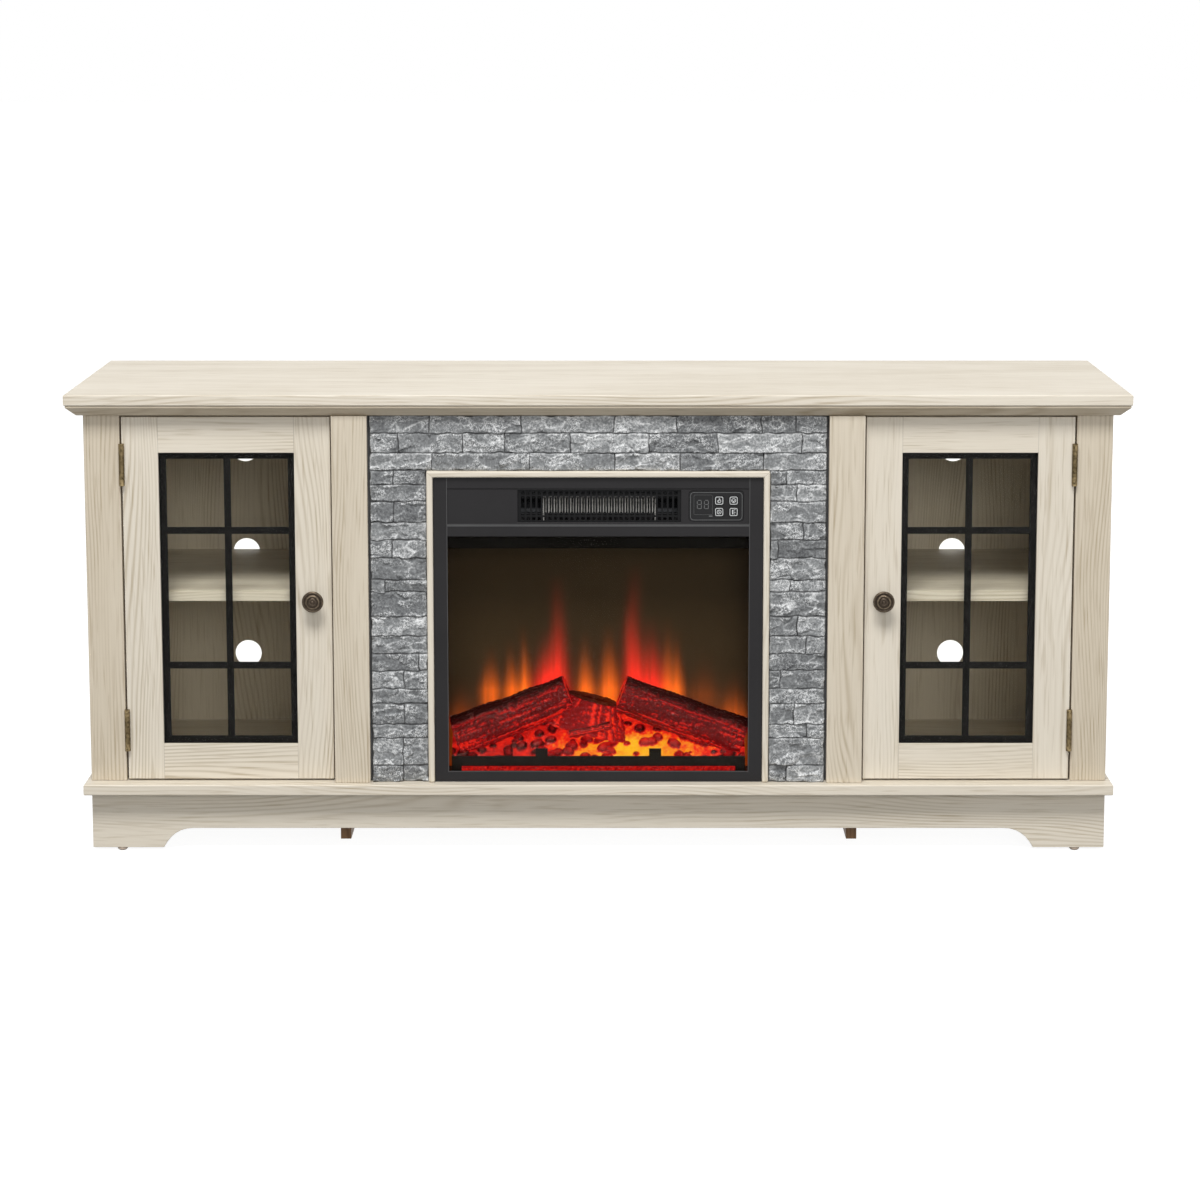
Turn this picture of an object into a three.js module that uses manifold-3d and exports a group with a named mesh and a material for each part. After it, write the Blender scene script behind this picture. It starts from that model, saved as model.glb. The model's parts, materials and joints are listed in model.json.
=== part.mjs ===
// Fireplace TV stand: a cream oak cabinet with two glazed doors, a stacked-stone
// surround and an electric fire insert with its heater, fan and flame works.
// Millimetres, +Z up, front towards -Y, origin on the floor below the middle of the top.

import * as THREE from 'three';
import { mergeVertices } from 'three/addons/utils/BufferGeometryUtils.js';
import Module from 'manifold-3d';

const wasm = await Module();
wasm.setup();

// Overall cabinet
const cabinetWidth = 1473;
const cabinetDepth = 400;
const cabinetHeight = 653;
const board = 15;
const fit = 0.3;
const cutOverrun = 1;
const edgeEase = 1;

// Top and crown moulding
const topSideOverhang = 22.5;
const topFrontOverhang = 26;
const topBackOverhang = 10;
const crownHeight = 15.5;
const crownStrip = 3;
const crownTopInset = 2;
const crownLip = 8;

// Base board, plinth and what it stands on
const baseSideLip = 7.5;
const baseFrontLip = 26;
const plinthHeight = 82;
const footWidth = 100;
const archRise = 28;
const archRun = 42;
const archBendShare = 0.34;
const glideDrop = 5;
const glideRadius = 7.2;
const glideTipRadius = 4.5;
const glideInset = 40.5;
const supportFrontSetback = 61;
const supportBackSetback = 50;

// Stiles, shelves and back panels
const outerStileWidth = 50;
const innerStileWidth = 49.5;
const innerStileProud = 14;
const stoneBayWidth = 640;
const shelfRise = 250;
const shelfSetback = 37;
const shelfPinRadius = 3;
const shelfPinLength = 8;
const shelfPinInset = 40;
const backPanelThickness = 3;
const cableHoleRadius = 20;
const cableHoleTopInset = 116.7;
const cableHoleBottomInset = 104;

// Doors
const doorSideGap = 2.6;
const doorBottomGap = 2.6;
const doorTopGap = 3.2;
const doorMember = 50.4;
const doorRebate = 5;
const doorLip = 6;
const doorGlassThickness = 3;
const gridBar = 9.6;
const gridThickness = 2;
const gridCrossShare = 0.232;
const knobRadius = 15;
const knobProjection = 24.5;
const knobProfileShares = [
  [0, 0], [0.6, 0], [0.6, 0.07], [0.36, 0.16], [0.34, 0.45], [0.62, 0.6], [0.94, 0.68],
  [1, 0.78], [0.93, 0.87], [0.74, 0.9], [0.66, 0.87], [0.5, 0.95], [0.26, 0.96], [0, 1],
];

// Butt hinges of the doors
const hingeTopInset = 66.5;
const hingeBottomInset = 71;
const knuckleRadius = 3.9;
const knuckleEnd = 18;
const knuckleMiddle = 23;
const hingePinRadius = 1.9;
const hingeAxisShift = 1.6;
const leafThickness = 0.8;
const leafDepth = 14.5;

// Stone surround and its wooden trim
const stoneSideGap = 3;
const stoneBacking = 9;
const stoneJoint = 1.2;
const stoneEdge = 2.2;
const stoneProud = 9.5;
const stoneProudSpread = 2.4;
const stoneTilt = 1.1;
const lintelHeight = 77.2;
const trimWidth = 8.8;
const trimProud = 12;
const trimDepth = 22;

// Courses of stone from the bottom up, as shares of the whole height
const courseShares = [17, 28, 14, 21, 15, 19, 17, 18, 20, 25, 12, 22, 18, 18, 21, 17, 14];
const lintelCourseShares = [17, 19, 17];
// Upright joints: one list a course, as shares of that course's width
const leftJointShares = [
  [0.54], [0.55], [], [0.58], [], [0.58], [0.85], [], [], [], [0.25], [], [0.38], [], [0.42],
  [], [0.41],
];
const rightJointShares = [
  [0.32], [], [0.7], [0.45], [], [0.2], [], [0.66], [0.5], [], [0.36], [], [0.15], [0.6], [],
  [0.48], [0.28],
];
const lintelJointShares = [
  [0.135, 0.35, 0.537, 0.679, 0.862],
  [0.063, 0.203, 0.295, 0.439, 0.611, 0.762, 0.945],
  [0.131, 0.332, 0.535, 0.672, 0.856, 0.932],
];

// Fire insert: front frame
const insertWidth = 458.8;
const insertProud = 7;
const insertFrameThickness = 4;
const fireSideBorder = 19.4;
const fireBottomBorder = 15;
const stripBottomRise = 17.6;
const stripHeight = 50;
const stripTopBorder = 15.7;
const stripRecess = 1.5;
const fireGlassThickness = 3;
const fireGlassLap = 4;

// Fire insert: steel housing
const housingDepth = 136;
const housingWall = 1.5;
const housingSideInset = 4.5;
const housingTopInset = 2.5;
const deckRise = 9;
const deckSetback = 7;
const ventColumns = 9;
const ventRows = 2;
const ventWidth = 24;
const ventHeight = 5;
const ventPitchX = 36;
const ventPitchZ = 14;
const glandRadius = 8;
const glandBore = 3.6;
const glandLength = 7;
const glandSideInset = 45;
const glandRise = 40;
const bearingRadius = 7;
const bearingLength = 10;

// Heater outlet grille and heating element
const grilleWidth = 227;
const grilleHeight = 45.5;
const grilleShift = 1.5;
const grilleLap = 2;
const grilleThickness = 2;
const grillePitch = 7.6;
const grilleColumns = 29;
const grilleBar = 2.8;
const grilleRowShares = [[0.05, 0.15], [0.21, 0.79], [0.85, 0.95]];
const elementLoops = 21;
const elementHeight = 25;
const elementRadius = 1;
const elementSetback = 9;
const elementSides = 6;
const bendSteps = 6;

// Fan
const fanRadius = 21;
const fanCoreShare = 0.72;
const fanBlades = 16;
const fanLength = 220;
const fanSetback = 52;
const shaftRadius = 3;
const motorRadius = 19;
const motorLength = 40;
const motorGap = 8;
const motorBoreDepth = 12;

// Control panel and its keys
const controlWidth = 76;
const controlHeight = 43;
const controlCorner = 5;
const controlDepth = 8;
const controlProud = 0.4;
const controlSideInset = 8;
const keySize = 12.8;
const keyCorner = 2.5;
const keyThickness = 2.6;
const keyProud = 0.5;
const keyWellDepth = 4;
const keyPitchX = 20;
const keyPitchZ = 16;
const keySideInset = 14;

// Fire bed, fender and flame works
const flameScreenSetback = 78;
const flameScreenThickness = 3;
const bedSetback = 13;
const bedHalfWidth = 207;
const bedFrontRise = 30;
const bedSlopeShares = [[0, 1], [0.34, 1.55], [0.7, 2.2], [1, 2.45]];
const bedHollowHeight = 12;
const bedWall = 7;
const logSides = 12;
const logSteps = 6;
const logRise = 134;
const logBark = 2.4;
// Each end of a log: across the bed, into its depth, up the logs' rise, and its radius as a
// share of the bed's depth
const logShares = [
  [[-0.966, 0.5, 0.38, 0.49], [-0.203, 0.5, 0.85, 0.427]],
  [[0.985, 0.5, 0.365, 0.48], [0.155, 0.5, 0.8425, 0.427]],
  [[-0.024, 0.58, 0.74, 0.39], [-0.04, 0.43, 0.415, 0.41]],
];
const emberRadius = 8;
const emberRowShares = [0.1, 0.3, 0.5];
const emberColumns = 11;
const fenderThickness = 1.2;
const fenderBottomRise = 16.4;
const fenderHeight = 14.3;
const fenderLegWidth = 14;
const fenderTabWidth = 17;
const fenderTabRise = 11;
const fenderTabPlace = 80;
const spindleFlags = 5;
const spindleRadius = 15;
const spindleCoreShare = 0.3;
const spindleLength = 340;
const spindleSetback = 26;
const spindleRise = 66;
const spindleMotorRadius = 22;
const spindleMotorLength = 24;
const ledLength = 300;
const ledWidth = 40;
const ledThickness = 1.6;

// Facets of round work
const roundSegments = 16;
const holeSegments = 12;
const knobSegments = 24;
const motorSegments = 32;
const archSegments = 6;
const cornerSegments = 4;

// Starts of the repeatable unevenness of stones, logs and embers
const stoneSeeds = { left: 11, right: 523, lintel: 1031 };
const logSeeds = [200, 300, 400];
const emberSeed = 77;

// Planes that the sizes above give
const topHalf = cabinetWidth / 2;
const topFront = -cabinetDepth / 2;
const bodyHalf = topHalf - topSideOverhang;
const bodyFront = topFront + topFrontOverhang;
const bodyBack = cabinetDepth / 2 - topBackOverhang;
const carcassBack = bodyBack - backPanelThickness - fit;
const railBack = bodyFront + board;
const topUnderside = cabinetHeight - board;
const crownBottom = topUnderside - crownHeight;
const baseBottom = glideDrop + plinthHeight;
const baseTop = baseBottom + board;
const floorSeat = baseTop + fit;
const stileTop = crownBottom - fit;
const carcassTop = topUnderside - fit;
const stoneBayHalf = stoneBayWidth / 2;
const innerStileOuter = stoneBayHalf + innerStileWidth;
const innerStileFront = bodyFront - innerStileProud;
const innerStileBack = innerStileFront + board;
const partitionInner = innerStileOuter - board;
const sideInner = bodyHalf - board;
const stileInner = bodyHalf - outerStileWidth;
const sides = [['left', -1], ['right', 1]];

const finishes = {
  oak: { color: 0xd4cbbb, roughness: 0.55, metalness: 0 },
  brownBoard: { color: 0x7a5a3e, roughness: 0.7, metalness: 0 },
  stone: { color: 0x8f9092, roughness: 0.85, metalness: 0 },
  clearGlass: { color: 0xb9c2bd, roughness: 0.05, metalness: 0 },
  darkGlass: { color: 0x2b2622, roughness: 0.05, metalness: 0 },
  blackGrid: { color: 0x141313, roughness: 0.4, metalness: 0.2 },
  bronze: { color: 0x574e44, roughness: 0.45, metalness: 0.9 },
  brass: { color: 0x7d6a48, roughness: 0.4, metalness: 0.9 },
  blackSteel: { color: 0x2b2b2c, roughness: 0.5, metalness: 0.4 },
  wire: { color: 0x9a9894, roughness: 0.4, metalness: 0.9 },
  zinc: { color: 0xa8abad, roughness: 0.4, metalness: 0.9 },
  panelPlastic: { color: 0x19191a, roughness: 0.25, metalness: 0 },
  screen: { color: 0x2e271d, roughness: 0.6, metalness: 0 },
  logResin: { color: 0x5a1712, roughness: 0.5, metalness: 0 },
  glidePlastic: { color: 0xb9aa98, roughness: 0.5, metalness: 0 },
  circuit: { color: 0x2f5a3a, roughness: 0.5, metalness: 0 },
};

const model = new THREE.Group();

function addPart(name, finish, geometry) {
  const mesh = new THREE.Mesh(geometry, new THREE.MeshStandardMaterial(finishes[finish]));
  mesh.name = name;
  model.add(mesh);
}

// Shape helpers

// A box between two corners
function block(low, high) {
  const size = high.map((value, axis) => value - low[axis]);
  const centre = high.map((value, axis) => (value + low[axis]) / 2);
  return new THREE.BoxGeometry(...size).translate(...centre);
}

// A box on one side of the middle: X runs outwards from the middle
function sideBlock(side, low, high) {
  const [near, far] = side > 0 ? [low[0], high[0]] : [-high[0], -low[0]];
  return block([near, low[1], low[2]], [far, high[1], high[2]]);
}

function outline(points) {
  return new THREE.Shape(points.map(([x, y]) => new THREE.Vector2(x, y)));
}

function rectangle(left, bottom, right, top) {
  return outline([[left, bottom], [right, bottom], [right, top], [left, top]]);
}

function roundedRectangle(centreX, centreY, width, height, corner) {
  const [left, bottom] = [centreX - width / 2, centreY - height / 2];
  const [right, top] = [left + width, bottom + height];
  const shape = new THREE.Shape();
  shape.moveTo(left + corner, bottom);
  shape.lineTo(right - corner, bottom);
  shape.absarc(right - corner, bottom + corner, corner, -Math.PI / 2, 0, false);
  shape.absarc(right - corner, top - corner, corner, 0, Math.PI / 2, false);
  shape.absarc(left + corner, top - corner, corner, Math.PI / 2, Math.PI, false);
  shape.absarc(left + corner, bottom + corner, corner, Math.PI, Math.PI * 1.5, false);
  return shape;
}

// An outline seen from the front, X and Z, between two planes of Y
function frontPlate(shape, front, back, curveSegments = holeSegments) {
  const options = { depth: back - front, bevelEnabled: false, curveSegments };
  return new THREE.ExtrudeGeometry(shape, options).rotateX(Math.PI / 2).translate(0, back, 0);
}

// An outline seen from the side, Y and Z, between two planes of X
function sidePlate(shape, low, high, curveSegments = holeSegments) {
  const options = { depth: high - low, bevelEnabled: false, curveSegments };
  const turn = new THREE.Matrix4().makeBasis(
    new THREE.Vector3(0, 1, 0),
    new THREE.Vector3(0, 0, 1),
    new THREE.Vector3(1, 0, 0),
  );
  return new THREE.ExtrudeGeometry(shape, options).applyMatrix4(turn).translate(low, 0, 0);
}

// A flat board whose upper and lower edges are eased
function easedBoard(low, high) {
  const options = {
    depth: high[2] - low[2] - 2 * edgeEase,
    bevelThickness: edgeEase,
    bevelSize: edgeEase,
    bevelOffset: -edgeEase,
    bevelSegments: 1,
  };
  const shape = rectangle(low[0], low[1], high[0], high[1]);
  return new THREE.ExtrudeGeometry(shape, options).translate(0, 0, low[2] + edgeEase);
}

function rod(radius, length, centre, axis, segments = roundSegments) {
  const geometry = new THREE.CylinderGeometry(radius, radius, length, segments);
  if (axis === 'x') geometry.rotateZ(Math.PI / 2);
  if (axis === 'z') geometry.rotateX(Math.PI / 2);
  return geometry.translate(...centre);
}

// A closed body through rings of the same number of points, with flat ends
function loft(rings) {
  const count = rings[0].length;
  const last = rings.length - 1;
  const index = [];
  for (let ring = 0; ring < last; ring += 1) {
    for (let i = 0; i < count; i += 1) {
      const next = (i + 1) % count;
      const [a, b] = [ring * count + i, ring * count + next];
      const [c, d] = [a + count, b + count];
      index.push(a, b, d, a, d, c);
    }
  }
  for (let i = 1; i < count - 1; i += 1) {
    index.push(0, i + 1, i);
    index.push(last * count, last * count + i, last * count + i + 1);
  }
  const geometry = new THREE.BufferGeometry();
  geometry.setAttribute('position', new THREE.Float32BufferAttribute(rings.flat(2), 3));
  geometry.setIndex(index);
  geometry.computeVertexNormals();
  return geometry;
}

// Joining and cutting

function toSolid(geometry) {
  const bare = geometry.clone();
  bare.deleteAttribute('normal');
  bare.deleteAttribute('uv');
  const merged = mergeVertices(bare);
  const corners = merged.index.array;
  const triangles = [];
  for (let i = 0; i < corners.length; i += 3) {
    const [a, b, c] = corners.subarray(i, i + 3);
    if (a !== b && b !== c && c !== a) triangles.push(a, b, c);
  }
  return new wasm.Manifold(new wasm.Mesh({
    numProp: 3,
    vertProperties: merged.attributes.position.array,
    triVerts: Uint32Array.from(triangles),
  }));
}

function toGeometry(solid) {
  const mesh = solid.getMesh();
  const geometry = new THREE.BufferGeometry();
  geometry.setAttribute('position', new THREE.BufferAttribute(mesh.vertProperties, 3));
  geometry.setIndex(new THREE.BufferAttribute(mesh.triVerts, 1));
  geometry.computeVertexNormals();
  return geometry;
}

function joined(first, others) {
  return toGeometry(others.reduce((sum, next) => sum.add(toSolid(next)), toSolid(first)));
}

function cutAway(first, others) {
  return toGeometry(others.reduce((rest, next) => rest.subtract(toSolid(next)), toSolid(first)));
}

// Repeatable numbers from 0 to 1, for the uneven faces of stone and bark
function unevenness(seed) {
  const wave = Math.sin(seed * 12.9898) * 43758.5453;
  return wave - Math.floor(wave);
}

// Top, crown, base and plinth

function addTopAndBase() {
  addPart('top_panel', 'oak', easedBoard(
    [-topHalf, topFront, topUnderside],
    [topHalf, cabinetDepth / 2, cabinetHeight],
  ));
  const baseHalf = bodyHalf + baseSideLip;
  addPart('base_board', 'oak', easedBoard(
    [-baseHalf, bodyFront - baseFrontLip, baseBottom],
    [baseHalf, bodyBack, baseTop],
  ));
}

// The moulding runs round the front and both sides under the top
function addCrown() {
  const ring = (half, front, z) => [
    [-half, front, z], [half, front, z], [half, bodyBack, z], [-half, bodyBack, z],
  ];
  const outerHalf = topHalf - crownTopInset;
  const outerFront = topFront + crownTopInset;
  const moulded = loft([
    ring(bodyHalf + crownLip, bodyFront - crownLip, crownBottom),
    ring(outerHalf, outerFront, topUnderside - crownStrip),
    ring(outerHalf, outerFront, carcassTop),
  ]);
  const body = block(
    [-bodyHalf - fit, railBack, crownBottom - cutOverrun],
    [bodyHalf + fit, bodyBack + cutOverrun, topUnderside + cutOverrun],
  );
  addPart('crown_moulding', 'oak', cutAway(moulded, [body]));
}

// A plinth board's outline: two feet with an arch between them
function archedOutline(start, end, startFoot, endFoot) {
  const [bottom, crest, top] = [glideDrop, glideDrop + archRise, baseBottom - fit];
  const bend = archRun * archBendShare;
  const shape = new THREE.Shape();
  shape.moveTo(start, bottom);
  shape.lineTo(start + startFoot, bottom);
  const rise = start + startFoot;
  shape.quadraticCurveTo(rise + bend, crest, rise + archRun, crest);
  const fall = end - endFoot;
  shape.lineTo(fall - archRun, crest);
  shape.quadraticCurveTo(fall - bend, crest, fall, bottom);
  shape.lineTo(end, bottom);
  shape.lineTo(end, top);
  shape.lineTo(start, top);
  return shape;
}

function addPlinth() {
  const front = archedOutline(-bodyHalf, bodyHalf, footWidth, footWidth);
  addPart('plinth_front', 'oak', frontPlate(front, bodyFront, railBack, archSegments));
  for (const [word, side] of sides) {
    const flank = archedOutline(railBack + fit, carcassBack, footWidth - board, footWidth);
    const [low, high] = side > 0 ? [sideInner, bodyHalf] : [-bodyHalf, -sideInner];
    addPart(`plinth_${word}`, 'oak', sidePlate(flank, low, high, archSegments));
    addPart(`support_leg_${word}`, 'brownBoard', sideBlock(
      side,
      [partitionInner, bodyFront + supportFrontSetback, 0],
      [innerStileOuter, carcassBack - supportBackSetback, baseBottom - fit],
    ));
  }
}

function addGlides() {
  const height = glideDrop - fit;
  const profile = [
    [0, 0], [glideTipRadius, 0], [glideRadius, height / 2], [glideRadius, height], [0, height],
  ].map(([r, z]) => new THREE.Vector2(r, z));
  for (const [word, side] of sides) {
    const places = [
      ['front', side * (bodyHalf - glideInset), bodyFront + board / 2],
      ['rear', side * (bodyHalf - board / 2), carcassBack - glideInset],
    ];
    for (const [end, x, y] of places) {
      const glide = new THREE.LatheGeometry(profile, roundSegments).rotateX(Math.PI / 2);
      addPart(`glide_${end}_${word}`, 'glidePlastic', glide.translate(x, y, 0));
    }
  }
}

// Carcass

const shelfUnderside = baseTop + shelfRise;

// Two pins under each end of a shelf, standing out of the board that carries them
function shelfPins(face, direction) {
  const places = [bodyFront + shelfSetback + shelfPinInset, carcassBack - shelfPinInset];
  const length = shelfPinLength + cutOverrun;
  const middle = face + direction * (length / 2 - cutOverrun);
  const height = shelfUnderside - fit - shelfPinRadius;
  return places.map((y) => rod(shelfPinRadius, length, [middle, y, height], 'x', holeSegments));
}

function addCarcass() {
  for (const [word, side] of sides) {
    const sidePanel = sideBlock(
      side,
      [sideInner, railBack + fit, floorSeat],
      [bodyHalf, carcassBack, carcassTop],
    );
    const sidePins = shelfPins(side * sideInner, -side);
    addPart(`side_panel_${word}`, 'oak', joined(sidePanel, sidePins));

    const front = innerStileBack + fit;
    const notch = railBack + fit;
    const flank = outline([
      [front, floorSeat], [carcassBack, floorSeat], [carcassBack, carcassTop],
      [notch, carcassTop], [notch, stileTop], [front, stileTop],
    ]);
    const [low, high] = side > 0
      ? [partitionInner, innerStileOuter]
      : [-innerStileOuter, -partitionInner];
    const partitionPins = shelfPins(side * innerStileOuter, side);
    addPart(`partition_${word}`, 'oak', joined(sidePlate(flank, low, high), partitionPins));

    addPart(`stile_outer_${word}`, 'oak', sideBlock(
      side,
      [stileInner, bodyFront, floorSeat],
      [bodyHalf, railBack, stileTop],
    ));
    addPart(`stile_inner_${word}`, 'oak', sideBlock(
      side,
      [stoneBayHalf, innerStileFront, floorSeat],
      [innerStileOuter, innerStileBack, stileTop],
    ));
    addPart(`shelf_${word}`, 'oak', sideBlock(
      side,
      [innerStileOuter + fit, bodyFront + shelfSetback, shelfUnderside],
      [sideInner - fit, carcassBack, shelfUnderside + board],
    ));

    const back = rectangle(side * partitionInner, floorSeat, side * bodyHalf, carcassTop);
    const [lowHole, highHole] = [baseTop + cableHoleBottomInset, carcassTop - cableHoleTopInset];
    for (const z of [lowHole, (lowHole + highHole) / 2, highHole]) {
      const hole = new THREE.Path();
      const x = side * (innerStileOuter + sideInner) / 2;
      hole.absarc(x, z, cableHoleRadius, 0, Math.PI * 2, false);
      back.holes.push(hole);
    }
    addPart(`back_panel_${word}`, 'oak', frontPlate(back, bodyBack - backPanelThickness, bodyBack));
  }
}

// Doors

const doorInner = innerStileOuter + doorSideGap;
const doorOuter = stileInner - doorSideGap;
const doorBottom = baseTop + doorBottomGap;
const doorTop = crownBottom - doorTopGap;
const doorGlassFront = bodyFront + doorLip;
const doorGridFront = doorGlassFront + doorGlassThickness + fit;
const paneLow = [doorInner + doorMember - doorRebate, doorBottom + doorMember - doorRebate];
const paneHigh = [doorOuter - doorMember + doorRebate, doorTop - doorMember + doorRebate];

// A rectangle on one side of the middle, seen from the front
function sideRectangle(side, low, high) {
  const [near, far] = side > 0 ? [low[0], high[0]] : [-high[0], -low[0]];
  return rectangle(near, low[1], far, high[1]);
}

// The window bars, with a border as wide as a bar inside the door's opening
function windowGrid(side) {
  const back = doorGridFront + gridThickness;
  const inset = doorRebate + gridBar;
  const inner = [paneLow[0] + inset, paneLow[1] + inset];
  const outer = [paneHigh[0] - inset, paneHigh[1] - inset];
  const midX = (inner[0] + outer[0]) / 2;
  const midZ = (inner[1] + outer[1]) / 2;
  const crossOffset = gridCrossShare * (doorTop - doorBottom - 2 * doorMember);
  const half = gridBar / 2;
  const columns = [[inner[0], midX - half], [midX + half, outer[0]]];
  const rows = [
    [inner[1], midZ - crossOffset - half],
    [midZ - crossOffset + half, midZ + crossOffset - half],
    [midZ + crossOffset + half, outer[1]],
  ];
  const panes = rows.flatMap(([bottom, top]) => columns.map(([near, far]) => sideBlock(
    side,
    [near, doorGridFront - cutOverrun, bottom],
    [far, back + cutOverrun, top],
  )));
  const sheet = sideBlock(
    side,
    [paneLow[0] + fit, doorGridFront, paneLow[1] + fit],
    [paneHigh[0] - fit, back, paneHigh[1] - fit],
  );
  return cutAway(sheet, panes);
}

function addDoors() {
  for (const [word, side] of sides) {
    const leaf = sideRectangle(side, [doorInner, doorBottom], [doorOuter, doorTop]);
    leaf.holes.push(sideRectangle(
      side,
      [doorInner + doorMember, doorBottom + doorMember],
      [doorOuter - doorMember, doorTop - doorMember],
    ));
    const rebate = sideBlock(
      side,
      [paneLow[0], doorGlassFront, paneLow[1]],
      [paneHigh[0], railBack + cutOverrun, paneHigh[1]],
    );
    const frame = cutAway(frontPlate(leaf, bodyFront, railBack), [rebate]);
    addPart(`door_frame_${word}`, 'oak', frame);
    addPart(`door_glass_${word}`, 'clearGlass', sideBlock(
      side,
      [paneLow[0] + fit, doorGlassFront + fit, paneLow[1] + fit],
      [paneHigh[0] - fit, doorGlassFront + doorGlassThickness, paneHigh[1] - fit],
    ));
    addPart(`door_grid_${word}`, 'blackGrid', windowGrid(side));
    const profile = knobProfileShares.map(
      ([r, out]) => new THREE.Vector2(r * knobRadius, out * knobProjection),
    );
    const knob = new THREE.LatheGeometry(profile, knobSegments);
    addPart(`door_knob_${word}`, 'bronze', knob.rotateX(Math.PI).translate(
      side * (doorInner + doorMember / 2),
      bodyFront - fit,
      (doorBottom + doorTop) / 2,
    ));
  }
}

// Hinges: the cabinet leaf carries the pin, the door leaf the middle knuckle

function addHinges() {
  const axisX = (doorOuter + stileInner) / 2 - hingeAxisShift;
  const axisY = bodyFront - knuckleRadius - fit;
  const leafFront = bodyFront + fit;
  const leafBack = leafFront + leafDepth;
  const tongueFront = axisY + hingePinRadius + 2 * fit;
  const tongueBack = leafFront + fit;
  const doorLeafX = doorOuter + fit;
  const cabinetLeafX = stileInner - fit - leafThickness;
  const half = knuckleMiddle / 2;
  const heights = [['upper', doorTop - hingeTopInset], ['lower', doorBottom + hingeBottomInset]];
  for (const [word, side] of sides) {
    for (const [level, z] of heights) {
      const plate = (x, front, back, low, high) => sideBlock(
        side,
        [x, front, z + low],
        [x + leafThickness, back, z + high],
      );
      const end = half + knuckleEnd;
      const knuckles = [-1, 1].map((way) => rod(
        knuckleRadius,
        knuckleEnd,
        [side * axisX, axisY, z + way * (half + knuckleEnd / 2)],
        'z',
      ));
      const pin = rod(hingePinRadius, knuckleMiddle + 2 * cutOverrun, [side * axisX, axisY, z], 'z');
      addPart(`hinge_${level}_${word}_cabinet_leaf`, 'brass', joined(
        plate(cabinetLeafX, leafFront, leafBack, -end, end),
        [
          ...knuckles,
          pin,
          plate(cabinetLeafX, tongueFront, tongueBack, -end, -half),
          plate(cabinetLeafX, tongueFront, tongueBack, half, end),
        ],
      ));
      const sleeveLength = knuckleMiddle - 2 * fit;
      const sleeve = rod(knuckleRadius, sleeveLength, [side * axisX, axisY, z], 'z');
      const bore = rod(
        hingePinRadius + fit,
        knuckleMiddle + 2 * cutOverrun,
        [side * axisX, axisY, z],
        'z',
      );
      const ring = cutAway(sleeve, [bore]);
      addPart(`hinge_${level}_${word}_door_leaf`, 'brass', joined(
        plate(doorLeafX, leafFront, leafBack, -end, end),
        [ring, plate(doorLeafX, tongueFront, tongueBack, fit - half, half - fit)],
      ));
    }
  }
}

// Fire insert's outline, on which the trim and the stones are laid out

const insertHalf = insertWidth / 2;
const trimInner = insertHalf + fit;
const trimOuter = trimInner + trimWidth;
const surroundLintel = stileTop - lintelHeight;
const trimTop = surroundLintel - fit;
const trimInnerTop = trimTop - trimWidth;
const insertTop = trimInnerTop - fit;

// An upright U, open at the floor
function archway(innerHalf, innerTop, outerHalf, outerTop) {
  return outline([
    [-outerHalf, floorSeat], [-innerHalf, floorSeat], [-innerHalf, innerTop],
    [innerHalf, innerTop], [innerHalf, floorSeat], [outerHalf, floorSeat],
    [outerHalf, outerTop], [-outerHalf, outerTop],
  ]);
}

// Stone surround: a backing board with split stones laid on it in courses

const surroundHalf = partitionInner - fit;
const surroundFront = innerStileBack + fit;
const surroundOpening = trimOuter + fit;
const stoneHalf = stoneBayHalf - stoneSideGap;

// One stone: upright sides, a worn edge and a front with a tilt of its own
function stone(left, right, bottom, top, seed) {
  const gap = stoneJoint / 2;
  const swing = (step, reach) => (unevenness(seed + step) - 0.5) * 2 * reach;
  const face = surroundFront - stoneProud - swing(0, stoneProudSpread);
  const tilts = [1, 2, 3, 4].map((corner) => swing(corner, stoneTilt));
  const ring = (inset, depths) => [
    [left + gap + inset, depths[0], bottom + gap + inset],
    [right - gap - inset, depths[1], bottom + gap + inset],
    [right - gap - inset, depths[2], top - gap - inset],
    [left + gap + inset, depths[3], top - gap - inset],
  ];
  return loft([
    ring(0, tilts.map(() => surroundFront + cutOverrun)),
    ring(0, tilts.map((tilt) => face + tilt + stoneEdge)),
    ring(stoneEdge, tilts.map((tilt) => face + tilt)),
  ]);
}

// The stones of one stretch of wall: its courses, and the joints along each course
function stoneWall(left, right, bottom, top, courses, joints, seed) {
  const total = courses.reduce((sum, share) => sum + share, 0);
  const stones = [];
  let low = bottom;
  courses.forEach((share, course) => {
    const high = low + ((top - bottom) * share) / total;
    const ends = [0, ...joints[course], 1].map((place) => left + (right - left) * place);
    for (let i = 1; i < ends.length; i += 1) {
      stones.push(stone(ends[i - 1], ends[i], low, high, seed + course * courses.length + i));
    }
    low = high;
  });
  return stones;
}

function addSurround() {
  const backing = frontPlate(
    archway(surroundOpening, surroundLintel, surroundHalf, stileTop),
    surroundFront,
    surroundFront + stoneBacking,
  );
  const columns = [
    [-stoneHalf, -surroundOpening, leftJointShares, stoneSeeds.left],
    [surroundOpening, stoneHalf, rightJointShares, stoneSeeds.right],
  ];
  const stones = columns.flatMap(([left, right, joints, seed]) => stoneWall(
    left, right, floorSeat, surroundLintel, courseShares, joints, seed,
  ));
  stones.push(...stoneWall(
    -stoneHalf, stoneHalf, surroundLintel, stileTop,
    lintelCourseShares, lintelJointShares, stoneSeeds.lintel,
  ));
  addPart('stone_surround', 'stone', joined(backing, stones));

  const trimFront = bodyFront - trimProud;
  addPart('insert_trim', 'oak', frontPlate(
    archway(trimInner, trimInnerTop, trimOuter, trimTop),
    trimFront,
    trimFront + trimDepth,
  ));
}

// Fire insert: frame, glass and steel housing

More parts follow.
